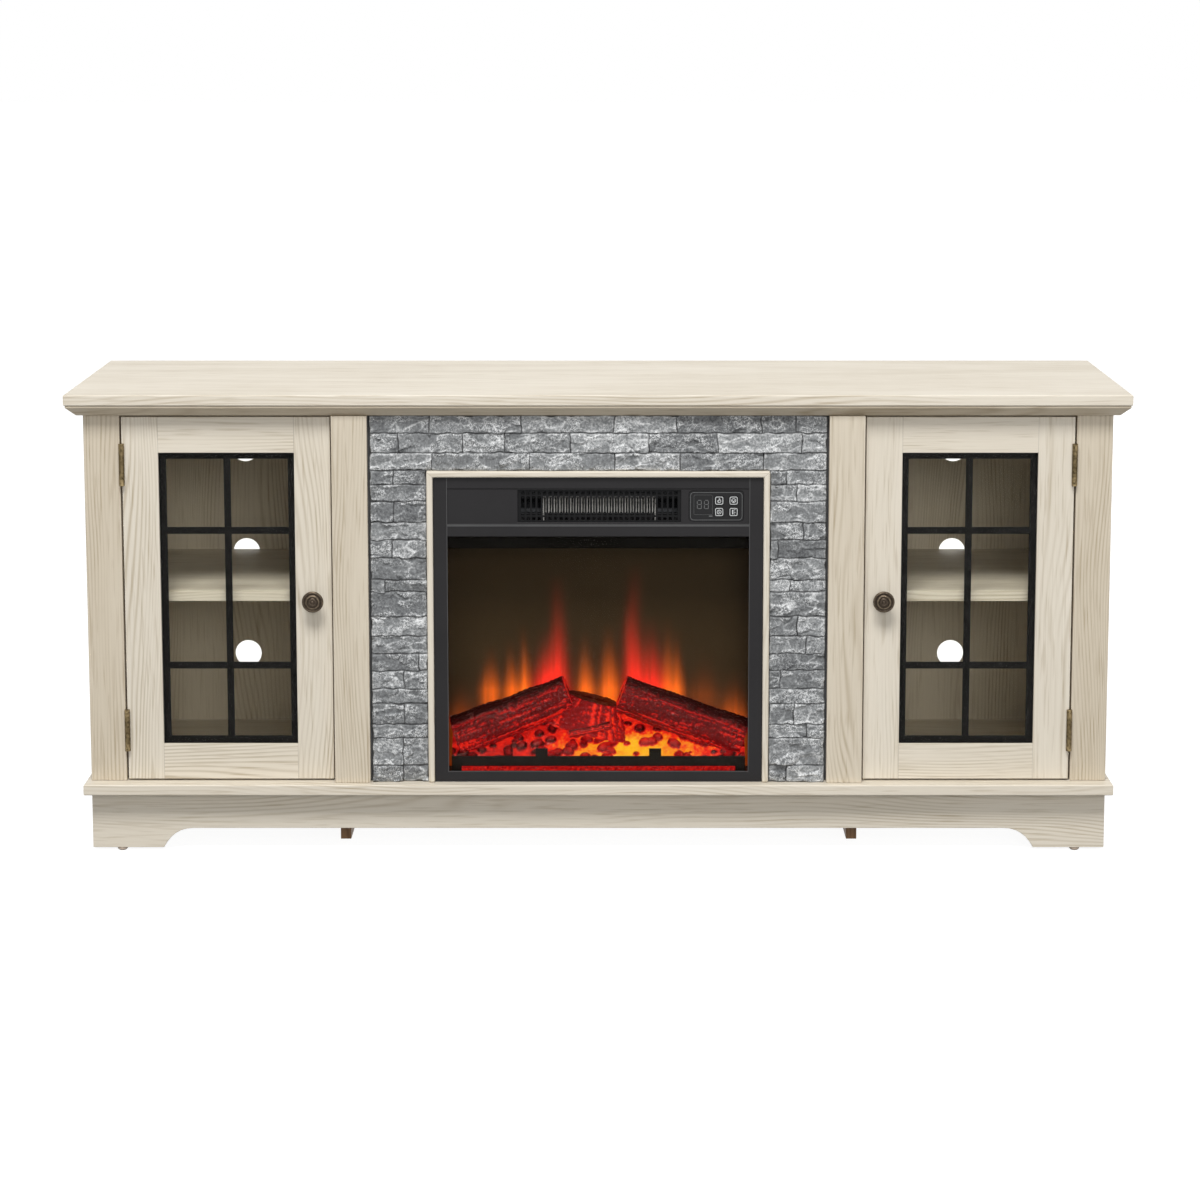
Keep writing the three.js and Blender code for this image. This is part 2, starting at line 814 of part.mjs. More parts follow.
const insertFront = bodyFront - insertProud;
const insertBack = insertFront + insertFrameThickness;
const fireHalf = insertHalf - fireSideBorder;
const fireBottom = floorSeat + fireBottomBorder;
const stripBottom = insertTop - stripTopBorder - stripHeight;
const fireTop = stripBottom - stripBottomRise;
const stripFront = insertFront + stripRecess;
const stripMiddle = stripBottom + stripHeight / 2;
const controlMiddle = fireHalf - controlSideInset - controlWidth / 2;

const housingFront = insertBack + fit;
const housingBack = housingFront + housingDepth;
const housingHalf = insertHalf - housingSideInset;
const housingTop = insertTop - housingTopInset;
const cavityHalf = housingHalf - housingWall;
const cavityBottom = floorSeat + housingWall;
const deckBottom = fireTop + deckRise;
const deckTop = deckBottom + housingWall;

const fanY = insertBack + fanSetback;
const screenFront = insertBack + flameScreenSetback;
const screenBack = screenFront + flameScreenThickness;
const spindleY = screenBack + spindleSetback;
const spindleZ = cavityBottom + spindleRise;

function addInsertFront() {
  const behind = insertBack + cutOverrun;
  const before = insertFront - cutOverrun;
  const fireOpening = block([-fireHalf, before, fireBottom], [fireHalf, behind, fireTop]);
  const grilleOpening = block(
    [grilleShift - grilleWidth / 2, before, stripMiddle - grilleHeight / 2],
    [grilleShift + grilleWidth / 2, behind, stripMiddle + grilleHeight / 2],
  );
  const controlOpening = frontPlate(
    roundedRectangle(controlMiddle, stripMiddle, controlWidth, controlHeight, controlCorner),
    before,
    behind,
    cornerSegments,
  );
  const recess = block(
    [-fireHalf, before, stripBottom],
    [fireHalf, stripFront, stripBottom + stripHeight],
  );
  addPart('insert_frame', 'blackSteel', cutAway(
    block([-insertHalf, insertFront, floorSeat], [insertHalf, insertBack, insertTop]),
    [fireOpening, grilleOpening, controlOpening, recess],
  ));
  addPart('insert_glass', 'darkGlass', block(
    [-fireHalf - fireGlassLap, insertBack + fit, fireBottom - fireGlassLap],
    [fireHalf + fireGlassLap, insertBack + fit + fireGlassThickness, fireTop + fireGlassLap],
  ));
}

// A steel box open at the front, with a deck under the heater, two bearings on its left
// wall, air slots and a cable gland in its rear wall
function addHousing() {
  const shell = cutAway(
    block([-housingHalf, housingFront, floorSeat], [housingHalf, housingBack, housingTop]),
    [block(
      [-cavityHalf, housingFront - cutOverrun, cavityBottom],
      [cavityHalf, housingBack - housingWall, housingTop - housingWall],
    )],
  );
  const lap = housingWall / 2;
  const deck = block(
    [-cavityHalf - lap, housingFront + deckSetback, deckBottom],
    [cavityHalf + lap, housingBack - lap, deckTop],
  );
  const axles = [[fanY, stripMiddle], [spindleY, spindleZ]];
  const bearings = axles.map(([y, z]) => rod(
    bearingRadius,
    bearingLength + lap,
    [-cavityHalf + (bearingLength - lap) / 2, y, z],
    'x',
  ));
  const bores = axles.map(([y, z]) => rod(
    shaftRadius + fit,
    bearingLength,
    [-cavityHalf + bearingLength / 2 + fit, y, z],
    'x',
  ));
  const glandPlace = [housingHalf - glandSideInset, housingBack, floorSeat + glandRise];
  const glandMiddle = [glandPlace[0], housingBack + (glandLength - lap) / 2, glandPlace[2]];
  const gland = rod(glandRadius, glandLength + lap, glandMiddle, 'y');
  const glandHole = rod(glandBore, 2 * (glandLength + cutOverrun), glandPlace, 'y');
  const vents = [];
  for (let row = 0; row < ventRows; row += 1) {
    for (let column = 0; column < ventColumns; column += 1) {
      const x = (column - (ventColumns - 1) / 2) * ventPitchX;
      const z = stripMiddle + (row - (ventRows - 1) / 2) * ventPitchZ;
      vents.push(block(
        [x - ventWidth / 2, housingBack - 2 * housingWall, z - ventHeight / 2],
        [x + ventWidth / 2, housingBack + cutOverrun, z + ventHeight / 2],
      ));
    }
  }
  const whole = joined(shell, [deck, ...bearings, gland]);
  addPart('insert_housing', 'blackSteel', cutAway(whole, [...bores, glandHole, ...vents]));
}

// Heater: outlet grille, zigzag element and fan

const grilleFront = insertBack + fit;

function addGrille() {
  const [low, high] = [stripMiddle - grilleHeight / 2, stripMiddle + grilleHeight / 2];
  const reach = grilleWidth / 2 + grilleLap;
  const back = grilleFront + grilleThickness;
  const plate = block(
    [grilleShift - reach, grilleFront, low - grilleLap],
    [grilleShift + reach, back, high + grilleLap],
  );
  const slotHalf = (grillePitch - grilleBar) / 2;
  const slots = [];
  for (let column = 0; column < grilleColumns; column += 1) {
    const x = grilleShift + (column - (grilleColumns - 1) / 2) * grillePitch;
    for (const [from, to] of grilleRowShares) {
      slots.push(block(
        [x - slotHalf, grilleFront - cutOverrun, low + from * grilleHeight],
        [x + slotHalf, back + cutOverrun, low + to * grilleHeight],
      ));
    }
  }
  addPart('heater_grille', 'blackSteel', cutAway(plate, slots));
}

// One unbroken wire that rises and falls once a loop, and stands on the deck at both ends
function addElement() {
  const y = grilleFront + grilleThickness + elementSetback;
  const bend = grillePitch / 4;
  const reach = elementHeight / 2 - bend - elementRadius;
  const seat = deckTop + fit;
  const start = grilleShift - (elementLoops * grillePitch) / 2 + bend;
  const stations = [{ x: start, z: seat, run: [0, 1] }];
  const runs = 2 * elementLoops;
  for (let run = 0; run < runs - 1; run += 1) {
    const way = run % 2 === 0 ? 1 : -1;
    const middle = start + (2 * run + 1) * bend;
    for (let step = 0; step <= bendSteps; step += 1) {
      const angle = Math.PI - (step / bendSteps) * Math.PI;
      stations.push({
        x: middle + bend * Math.cos(angle),
        z: stripMiddle + way * (reach + bend * Math.sin(angle)),
        run: [Math.sin(angle), -way * Math.cos(angle)],
      });
    }
  }
  stations.push({ x: start + 2 * (runs - 1) * bend, z: seat, run: [0, -1] });
  const rings = stations.map(({ x, z, run: [alongX, alongZ] }) => {
    const ring = [];
    for (let i = 0; i < elementSides; i += 1) {
      const turn = (i / elementSides) * 2 * Math.PI;
      const across = elementRadius * Math.cos(turn);
      ring.push([x + across * alongZ, y + elementRadius * Math.sin(turn), z - across * alongX]);
    }
    return ring;
  });
  addPart('heating_element', 'wire', loft(rings));
  return leastGap(stations, bend);
}

// The least gap between the wire and itself, past the half turn that joins two runs
function leastGap(stations, bend) {
  const samples = [];
  let travelled = 0;
  for (let i = 1; i < stations.length; i += 1) {
    const [from, to] = [stations[i - 1], stations[i]];
    const length = Math.hypot(to.x - from.x, to.z - from.z);
    const steps = Math.ceil(length / elementRadius);
    for (let step = 0; step < steps; step += 1) {
      const share = step / steps;
      samples.push([
        from.x + (to.x - from.x) * share,
        from.z + (to.z - from.z) * share,
        travelled + length * share,
      ]);
    }
    travelled += length;
  }
  const apart = 2 * bend + 2 * elementRadius;
  let least = Infinity;
  for (const [x, z, along] of samples) {
    for (const [otherX, otherZ, otherAlong] of samples) {
      if (otherAlong - along > apart) least = Math.min(least, Math.hypot(x - otherX, z - otherZ));
    }
  }
  return least - 2 * elementRadius;
}

// A star with one point a blade, seen along the axle
function bladeOutline(y, z, radius, coreShare, blades) {
  const points = [];
  for (let i = 0; i < 2 * blades; i += 1) {
    const reach = i % 2 === 0 ? radius : radius * coreShare;
    const turn = (i / blades) * Math.PI;
    points.push([y + reach * Math.cos(turn), z + reach * Math.sin(turn)]);
  }
  return outline(points);
}

// A bladed drum on a shaft that runs from the left bearing into the motor's bore
function rotor(y, z, drumLeft, drumRight, drum, motorFace) {
  const shaftLeft = -cavityHalf + 2 * fit;
  const shaftRight = motorFace + motorBoreDepth - fit;
  const middle = [(shaftLeft + shaftRight) / 2, y, z];
  const shaft = rod(shaftRadius, shaftRight - shaftLeft, middle, 'x');
  return joined(sidePlate(drum, drumLeft, drumRight), [shaft]);
}

function motorBore(face, y, z) {
  const length = motorBoreDepth + cutOverrun;
  return rod(shaftRadius + fit, length, [face + motorBoreDepth - length / 2, y, z], 'x');
}

function addFan() {
  const left = grilleShift - fanLength / 2;
  const right = left + fanLength;
  const face = right + motorGap;
  const drum = bladeOutline(fanY, stripMiddle, fanRadius, fanCoreShare, fanBlades);
  addPart('blower_wheel', 'zinc', rotor(fanY, stripMiddle, left, right, drum, face));
  const middle = face + motorLength / 2;
  const body = rod(motorRadius, motorLength, [middle, fanY, stripMiddle], 'x', motorSegments);
  const foot = block(
    [face, fanY - motorRadius / 2, deckTop + fit],
    [face + motorLength, fanY + motorRadius / 2, stripMiddle - motorRadius / 2],
  );
  const motor = cutAway(joined(body, [foot]), [motorBore(face, fanY, stripMiddle)]);
  addPart('blower_motor', 'zinc', motor);
}

// Control panel with four keys in wells

function addControls() {
  const front = stripFront - controlProud;
  const face = roundedRectangle(
    controlMiddle,
    stripMiddle,
    controlWidth - 2 * fit,
    controlHeight - 2 * fit,
    controlCorner - fit,
  );
  const keyRight = controlMiddle + controlWidth / 2 - keySideInset;
  const keys = [
    ['flame', keyRight - keyPitchX, stripMiddle + keyPitchZ / 2],
    ['heat', keyRight, stripMiddle + keyPitchZ / 2],
    ['timer', keyRight - keyPitchX, stripMiddle - keyPitchZ / 2],
    ['temperature', keyRight, stripMiddle - keyPitchZ / 2],
  ];
  const wells = keys.map(([, x, z]) => frontPlate(
    roundedRectangle(x, z, keySize + 2 * fit, keySize + 2 * fit, keyCorner + fit),
    front - cutOverrun,
    front + keyWellDepth,
    cornerSegments,
  ));
  const panel = frontPlate(face, front, front + controlDepth, cornerSegments);
  addPart('control_panel', 'panelPlastic', cutAway(panel, wells));
  const keyFront = front - keyProud;
  for (const [word, x, z] of keys) {
    const cap = roundedRectangle(x, z, keySize, keySize, keyCorner);
    const solid = frontPlate(cap, keyFront, keyFront + keyThickness, cornerSegments);
    addPart(`key_${word}`, 'panelPlastic', solid);
  }
}

// Fire bed, fender, flame screen and flame works

const bedSeat = cavityBottom + fit;
const fenderFront = insertBack + bedSetback;
const bedFront = fenderFront + fenderThickness + fit;
const bedBack = screenFront - fit;
const bedDepth = bedBack - bedFront;

function log([startShares, endShares], seed) {
  const place = ([x, y, z, r]) => ({
    at: new THREE.Vector3(
      x * bedHalfWidth,
      bedFront + y * bedDepth,
      bedSeat + z * logRise,
    ),
    radius: r * bedDepth,
  });
  const [start, end] = [place(startShares), place(endShares)];
  const along = end.at.clone().sub(start.at).normalize();
  const across = new THREE.Vector3(0, 1, 0).cross(along).normalize();
  const upward = along.clone().cross(across);
  const rings = [];
  for (let step = 0; step <= logSteps; step += 1) {
    const share = step / logSteps;
    const middle = start.at.clone().lerp(end.at, share);
    const radius = start.radius + (end.radius - start.radius) * share;
    const ring = [];
    for (let i = 0; i < logSides; i += 1) {
      const turn = (i / logSides) * 2 * Math.PI;
      const reach = radius - logBark * unevenness(seed + step * logSides + i);
      const point = middle.clone();
      point.addScaledVector(across, reach * Math.cos(turn));
      point.addScaledVector(upward, reach * Math.sin(turn));
      ring.push(point.toArray());
    }
    rings.push(ring);
  }
  return loft(rings);
}

// Height of the ember slope at a share of the bed's depth
function slopeHeight(share) {
  const next = bedSlopeShares.findIndex(([depth]) => depth >= share);
  const [[fromDepth, fromRise], [toDepth, toRise]] = bedSlopeShares.slice(
    Math.max(next, 1) - 1,
    Math.max(next, 1) + 1,
  );
  const rise = fromRise + ((toRise - fromRise) * (share - fromDepth)) / (toDepth - fromDepth);
  return bedSeat + rise * bedFrontRise;
}

function embers() {
  const lumps = [];
  emberRowShares.forEach((depthShare, row) => {
    for (let column = 0; column < emberColumns; column += 1) {
      const seed = emberSeed + row * emberColumns + column;
      const radius = emberRadius * (1 - unevenness(seed) / 3);
      const spread = (column + unevenness(seed + 1) / 2 + 0.5) / emberColumns;
      lumps.push(new THREE.IcosahedronGeometry(radius, 0).rotateZ(seed).translate(
        (2 * spread - 1) * (bedHalfWidth - 2 * emberRadius),
        bedFront + emberRadius + depthShare * (bedDepth - 2 * emberRadius),
        slopeHeight(depthShare),
      ));
    }
  });
  return lumps;
}

function addFireBed() {
  const flank = outline([
    [bedFront, bedSeat],
    [bedBack, bedSeat],
    ...bedSlopeShares.map(
      ([depth, rise]) => [bedFront + depth * bedDepth, bedSeat + rise * bedFrontRise],
    ).reverse(),
  ]);
  const mound = sidePlate(flank, -bedHalfWidth, bedHalfWidth);
  const logs = logShares.map((ends, i) => log(ends, logSeeds[i]));
  const hollow = block(
    [bedWall - bedHalfWidth, bedFront + bedWall, bedSeat - cutOverrun],
    [bedHalfWidth - bedWall, bedBack - bedWall, bedSeat + bedHollowHeight],
  );
  addPart('log_bed', 'logResin', cutAway(joined(mound, [...logs, ...embers()]), [hollow]));
  const ledFront = (bedFront + bedBack - ledWidth) / 2;
  addPart('led_board', 'circuit', block(
    [-ledLength / 2, ledFront, bedSeat],
    [ledLength / 2, ledFront + ledWidth, bedSeat + ledThickness],
  ));
}

// A strip on two legs, with two tabs that hold the fire bed
function addFender() {
  const bottom = bedSeat + fenderBottomRise;
  const top = bottom + fenderHeight;
  const leg = bedHalfWidth - fenderLegWidth;
  const tab = (middle) => [
    [middle + fenderTabWidth / 2, top],
    [middle + fenderTabWidth / 2, top + fenderTabRise],
    [middle - fenderTabWidth / 2, top + fenderTabRise],
    [middle - fenderTabWidth / 2, top],
  ];
  const shape = outline([
    [-bedHalfWidth, bedSeat], [-leg, bedSeat], [-leg, bottom], [leg, bottom], [leg, bedSeat],
    [bedHalfWidth, bedSeat], [bedHalfWidth, top],
    ...tab(fenderTabPlace), ...tab(-fenderTabPlace), [-bedHalfWidth, top],
  ]);
  const fender = frontPlate(shape, fenderFront, fenderFront + fenderThickness);
  addPart('ember_fender', 'blackSteel', fender);
}

function addFlameWorks() {
  addPart('flame_screen', 'screen', block(
    [-cavityHalf + fit, screenFront, bedSeat],
    [cavityHalf - fit, screenBack, deckBottom - fit],
  ));
  const face = cavityHalf - fit - spindleMotorLength;
  const half = spindleLength / 2;
  const flags = bladeOutline(spindleY, spindleZ, spindleRadius, spindleCoreShare, spindleFlags);
  addPart('flame_spindle', 'zinc', rotor(spindleY, spindleZ, -half, half, flags, face));
  const motor = rod(
    spindleMotorRadius,
    spindleMotorLength,
    [face + spindleMotorLength / 2, spindleY, spindleZ],
    'x',
    motorSegments,
  );
  const bored = cutAway(motor, [motorBore(face, spindleY, spindleZ)]);
  addPart('spindle_motor', 'zinc', bored);
}

addTopAndBase();
addCrown();
addPlinth();
addGlides();
addCarcass();
addDoors();
addHinges();
addSurround();
addInsertFront();
addHousing();
addGrille();
const elementGap = addElement();
addFan();
addControls();
addFireBed();
addFender();
addFlameWorks();

console.log(`heating element: least gap to itself ${elementGap.toFixed(2)} mm`);

export default model;
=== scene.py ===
import json
import math

import bmesh
import bpy
from bmesh import ops
from mathutils import Matrix, Vector, noise


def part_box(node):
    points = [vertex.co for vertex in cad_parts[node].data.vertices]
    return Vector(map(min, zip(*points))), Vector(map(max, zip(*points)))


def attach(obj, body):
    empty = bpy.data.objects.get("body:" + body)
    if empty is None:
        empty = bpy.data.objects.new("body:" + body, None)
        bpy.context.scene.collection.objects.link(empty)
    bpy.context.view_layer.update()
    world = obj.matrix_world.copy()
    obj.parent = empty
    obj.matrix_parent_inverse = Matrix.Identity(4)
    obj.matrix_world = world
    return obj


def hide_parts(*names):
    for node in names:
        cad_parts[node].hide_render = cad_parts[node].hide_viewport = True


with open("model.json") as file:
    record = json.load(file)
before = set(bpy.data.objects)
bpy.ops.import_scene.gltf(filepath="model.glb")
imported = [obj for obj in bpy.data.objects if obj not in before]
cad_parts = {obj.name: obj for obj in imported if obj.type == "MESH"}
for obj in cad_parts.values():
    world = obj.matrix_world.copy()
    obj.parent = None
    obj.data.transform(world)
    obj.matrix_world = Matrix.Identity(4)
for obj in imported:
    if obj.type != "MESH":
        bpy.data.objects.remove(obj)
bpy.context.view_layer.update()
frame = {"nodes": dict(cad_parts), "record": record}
print("Frame loaded with", len(frame["nodes"]), "nodes")

# Without a seed, vector noise starts from the clock and differs in each run
noise.seed_set(11)

# Everything is in metres, front towards -Y


# Colours and shader nodes

def linear(red, green, blue):
    # a colour as a screen shows it, 0 to 255, in the shader's own values
    shares = [value / 255 for value in (red, green, blue)]
    return tuple(s / 12.92 if s <= 0.04045 else ((s + 0.055) / 1.055) ** 2.4 for s in shares) + (1,)


# Links or sets each named input, as the value asks
def feed(inputs, values):
    for key, value in values.items():
        if isinstance(value, bpy.types.NodeSocket):
            value.id_data.links.new(value, inputs[key])
        else:
            inputs[key].default_value = value


def addNode(tree, kind, inputs=None, **settings):
    node = tree.nodes.new(kind)
    for key, value in settings.items():
        setattr(node, key, value)
    feed(node.inputs, inputs or {})
    return node


# The output of a new node in the tree that its inputs come from
def follow(kind, inputs, output=0, **settings):
    tree = next(value.id_data for value in inputs.values() if isinstance(value, bpy.types.NodeSocket))
    return addNode(tree, kind, inputs, **settings).outputs[output]


def calc(operation, *values, clamp=False):
    return follow("ShaderNodeMath", dict(enumerate(values)), operation=operation, use_clamp=clamp)


def stretched(vector, amounts):
    return follow("ShaderNodeVectorMath", {0: vector, 1: amounts}, operation="MULTIPLY")


def noiseOf(vector, scale=1, detail=2, roughness=0.5):
    return follow("ShaderNodeTexNoise", {
        "Vector": vector, "Scale": scale, "Detail": detail, "Roughness": roughness,
    })


def spread(value, low, high, toLow=0, toHigh=1):
    return follow("ShaderNodeMapRange", {
        "Value": value, "From Min": low, "From Max": high, "To Min": toLow, "To Max": toHigh,
    }, clamp=True)


def mixed(factor, first, second, blend="MIX"):
    return follow("ShaderNodeMix", {0: factor, 6: first, 7: second}, 2, data_type="RGBA", blend_type=blend)


def bumped(height, strength, distance):
    return follow("ShaderNodeBump", {"Height": height, "Strength": strength, "Distance": distance})


def attribute(tree, name, output="Fac"):
    return addNode(tree, "ShaderNodeAttribute", attribute_name=name).outputs[output]


def objectPlace(tree):
    return addNode(tree, "ShaderNodeTexCoord").outputs["Object"]


# A node group that colours a vector; numbers are its further inputs
def newGroup(name, numbers):
    tree = bpy.data.node_groups.new(name, "ShaderNodeTree")
    kinds = {"Vector": "NodeSocketVector", "Light": "NodeSocketColor", "Dark": "NodeSocketColor"}
    values = {"Vector": (0, 0, 0), "Light": (1, 1, 1, 1), "Dark": (0, 0, 0, 1), **numbers}
    for label, value in values.items():
        kind = kinds.get(label, "NodeSocketFloat")
        tree.interface.new_socket(label, in_out="INPUT", socket_type=kind).default_value = value
    for label, kind in (("Color", "Color"), ("Roughness", "Float"), ("Height", "Float")):
        tree.interface.new_socket(label, in_out="OUTPUT", socket_type="NodeSocket" + kind)
    return tree, tree.nodes.new("NodeGroupInput").outputs, tree.nodes.new("NodeGroupOutput").inputs


def useGroup(tree, group, inputs):
    node = tree.nodes.new("ShaderNodeGroup")
    node.node_tree = group
    feed(node.inputs, inputs)
    return node.outputs


def newMaterial(name, constants):
    material = bpy.data.materials.new(name)
    material.use_nodes = True
    shader = material.node_tree.nodes["Principled BSDF"]
    feed(shader.inputs, constants)
    return material, material.node_tree, shader


# Grain of the oak finish: the vector runs across, through and along the board
def makeOakGrain():
    tree, given, result = newGroup("oakGrain", {"Ring Spacing": 0.006, "Waviness": 0.1})
    vector = given["Vector"]
    parts = addNode(tree, "ShaderNodeSeparateXYZ", {0: vector}).outputs
    sweep = noiseOf(stretched(vector, (8, 8, 1.5)), detail=1.5)
    shift = calc("MULTIPLY", calc("SUBTRACT", sweep, 0.5), given["Waviness"])
    across = calc("ADD", calc("ADD", parts[0], parts[1]), shift)
    turns = calc("DIVIDE", across, given["Ring Spacing"])
    wave = calc("SINE", calc("MULTIPLY", turns, math.tau))
    ring = calc("POWER", calc("MULTIPLY_ADD", wave, 0.5, 0.5), 2.5)
    fade = spread(noiseOf(stretched(vector, (26, 26, 3)), detail=2), 0.38, 0.68)
    fibre = noiseOf(stretched(vector, (620, 620, 12)), detail=2)
    pore = spread(noiseOf(stretched(vector, (380, 380, 16)), detail=1), 0.57, 0.72)
    cloud = noiseOf(stretched(vector, (11, 11, 2.5)), detail=2)
    dark = calc("MULTIPLY", calc("MULTIPLY", ring, fade), 0.62)
    dark = calc("MULTIPLY_ADD", fibre, 0.3, dark)
    dark = calc("MULTIPLY_ADD", pore, 0.34, dark)
    dark = calc("MULTIPLY_ADD", cloud, 0.3, calc("SUBTRACT", dark, 0.22), clamp=True)
    feed(result, {
        "Color": mixed(dark, given["Light"], given["Dark"]),
        "Roughness": calc("MULTIPLY_ADD", dark, 0.16, 0.46),
        "Height": calc("SUBTRACT", 1, dark),
    })
    return tree


# Fine speckle of powder coat, moulded plastic and cast metal
def makeFineGrit():
    tree, given, result = newGroup("fineGrit", {"Grit": 1500, "Smooth": 0.4, "Rough": 0.6})
    vector = given["Vector"]
    grit = noiseOf(vector, given["Grit"], 2, 0.6)
    smear = noiseOf(vector, 14, 3, 0.6)
    both = calc("MULTIPLY_ADD", grit, 0.5, calc("MULTIPLY", smear, 0.5))
    share = spread(both, 0.3, 0.7)
    span = calc("SUBTRACT", given["Rough"], given["Smooth"])
    feed(result, {
        "Color": mixed(share, given["Dark"], given["Light"]),
        "Roughness": calc("MULTIPLY_ADD", share, span, given["Smooth"]),
        "Height": grit,
    })
    return tree


oakGrain = makeOakGrain()
fineGrit = makeFineGrit()

# The tan is a painted shade, laid on the crown, the back panels and the stiles
oak = dict(light=(219, 211, 196), dark=(172, 158, 134), seam=(96, 84, 66), paintedShade=(198, 180, 146),
        ringSpacing=0.0058, waviness=0.13)


def makeOak(name, light, dark):
    material, tree, shader = newMaterial(name, {"Specular IOR Level": 0.35})
    grain = useGroup(tree, oakGrain, {
        "Vector": attribute(tree, "grain", "Vector"),
        "Light": linear(*light),
        "Dark": linear(*dark),
        "Ring Spacing": oak["ringSpacing"],
        "Waviness": oak["waviness"],
    })
    # Painted shade: chosen boards are darkened towards the tan
    paintedShade = mixed(attribute(tree, "paintedShade"), (1, 1, 1, 1), linear(*oak["paintedShade"]))
    board = mixed(1, grain["Color"], paintedShade, "MULTIPLY")
    seam = mixed(attribute(tree, "seam"), board, linear(*oak["seam"]))
    normal = bumped(grain["Height"], 0.25, 0.0004)
    feed(shader.inputs, {"Base Color": seam, "Roughness": grain["Roughness"], "Normal": normal})
    return material


# Speckled metal, plastic or paint. Where bare is given, the attribute wear bares that paler metal
def makeGritty(name, light, dark, specular=0.5, metallic=0, grit=1500, smooth=0.4, rough=0.6, bump=0.2,
        bare=None):
    material, tree, shader = newMaterial(name, {"Specular IOR Level": specular, "Metallic": metallic})
    place = objectPlace(tree)
    speckle = useGroup(tree, fineGrit, {
        "Vector": place, "Light": linear(*light), "Dark": linear(*dark), "Grit": grit, "Smooth": smooth,
        "Rough": rough,
    })
    colour = speckle["Color"]
    if bare:
        worn = calc("MULTIPLY", attribute(tree, "wear"), spread(noiseOf(place, 260, 3), 0.3, 0.6))
        colour = mixed(worn, colour, linear(*bare))
    normal = bumped(speckle["Height"], bump, 0.0002)
    feed(shader.inputs, {"Base Color": colour, "Roughness": speckle["Roughness"], "Normal": normal})
    return material


def pathShare(tree, *names):
    path = addNode(tree, "ShaderNodeLightPath")
    share = path.outputs[names[0]]
    for name in names[1:]:
        share = calc("MAXIMUM", share, path.outputs[name])
    return share


# Lamps reach what is behind the glass, so shadow rays pass through it
def makeGlass(name, colour, bend, tint):
    material, tree, shader = newMaterial(name, {
        "Base Color": linear(*colour), "Transmission Weight": 1, "IOR": bend,
    })
    smear = noiseOf(objectPlace(tree), 9, 3, 0.6)
    feed(shader.inputs, {"Roughness": spread(smear, 0.3, 0.7, 0.01, 0.05)})
    clear = addNode(tree, "ShaderNodeBsdfTransparent", {"Color": linear(*tint)}).outputs[0]
    lamp = pathShare(tree, "Is Shadow Ray", "Is Diffuse Ray")
    choice = follow("ShaderNodeMixShader", {0: lamp, 1: shader.outputs[0], 2: clear})
    feed(tree.nodes["Material Output"].inputs, {"Surface": choice})
    return material


stoneLook = dict(dark=(70, 71, 73), middle=(134, 136, 137), light=(232, 233, 233), joint=(78, 78, 79))


def makeStone():
    material, tree, shader = newMaterial("stackedStone", {"Specular IOR Level": 0.3})
    place = objectPlace(tree)
    cloud = noiseOf(place, 38, 4, 0.6)
    fleck = noiseOf(place, 300, 4, 0.7)
    scratch = calc("ABSOLUTE", calc("SUBTRACT", noiseOf(place, 210, 3, 0.7), 0.5))
    scratch = spread(scratch, 0, 0.04, 1, 0)
    coarse = attribute(tree, "coarse")
    patch = calc("MULTIPLY", coarse, spread(cloud, 0.32, 0.56))
    tone = calc("MULTIPLY_ADD", calc("SUBTRACT", cloud, 0.5), 0.35, attribute(tree, "tone"))
    tone = calc("MULTIPLY_ADD", calc("SUBTRACT", fleck, 0.5), 1.3, tone)
    tone = calc("MULTIPLY_ADD", calc("MULTIPLY", scratch, patch), 1.1, tone)
    # Paler chipped creases, and a painted highlight along the stones' broken edges
    tone = calc("MULTIPLY_ADD", attribute(tree, "chipAndHighlight"), 0.42, tone)
    shades = {key: linear(*shade) for key, shade in stoneLook.items()}
    colour = mixed(spread(tone, 0, 0.5), shades["dark"], shades["middle"])
    colour = mixed(spread(tone, 0.5, 1.1), colour, shades["light"])
    feed(shader.inputs, {
        "Base Color": mixed(attribute(tree, "joint"), colour, shades["joint"]),
        "Roughness": spread(fleck, 0.3, 0.7, 0.6, 0.9),
        "Normal": bumped(fleck, 0.55, 0.0009),
    })
    return material


emberLook = dict(bark=(58, 13, 15), ridgeGlintAndWear=(150, 118, 128), deep=(146, 10, 14), red=(242, 40, 24),
        hot=(255, 190, 30))


# Moulded resin lit from inside, a painted glow: its level, 0 to 1, runs from dark through red to yellow
def makeEmber():
    glowing = {"Emission Strength": 1, "Specular IOR Level": 0.15}
    material, tree, shader = newMaterial("glowingResin", glowing)
    place = objectPlace(tree)
    fleck = noiseOf(place, 260, 3, 0.6)
    uneven = calc("MULTIPLY", calc("SUBTRACT", fleck, 0.5), 0.22)
    paintedGlow = calc("ADD", uneven, attribute(tree, "paintedGlow"), clamp=True)
    shades = {key: linear(*shade) for key, shade in emberLook.items()}
    glow = mixed(spread(paintedGlow, 0.04, 0.3), (0, 0, 0, 1), shades["deep"])
    glow = mixed(spread(paintedGlow, 0.3, 0.62), glow, shades["red"])
    glow = mixed(spread(paintedGlow, 0.62, 1), glow, shades["hot"])
    # Painted glints: pale spots on the ridges, in the base colour
    ridgeGlintAndWear = calc("MULTIPLY", attribute(tree, "ridgeGlintAndWear"), spread(fleck, 0.5, 0.64))
    feed(shader.inputs, {
        "Emission Color": glow,
        "Base Color": mixed(ridgeGlintAndWear, shades["bark"], shades["ridgeGlintAndWear"]),
        "Roughness": spread(fleck, 0.3, 0.7, 0.3, 0.55),
        "Normal": bumped(fleck, 0.4, 0.0006),
    })
    return material


def makeFlameFilm():
    material, tree, shader = newMaterial("flameFilm", {"Emission Strength": 1, "Specular IOR Level": 0.1})
    film = noiseOf(objectPlace(tree), 5, 2)
    feed(shader.inputs, {
        "Base Color": mixed(film, linear(88, 77, 61), linear(114, 101, 80)),
        "Emission Color": attribute(tree, "flameLight", "Color"),
        "Roughness": spread(film, 0.3, 0.7, 0.55, 0.7),
    })
    return material


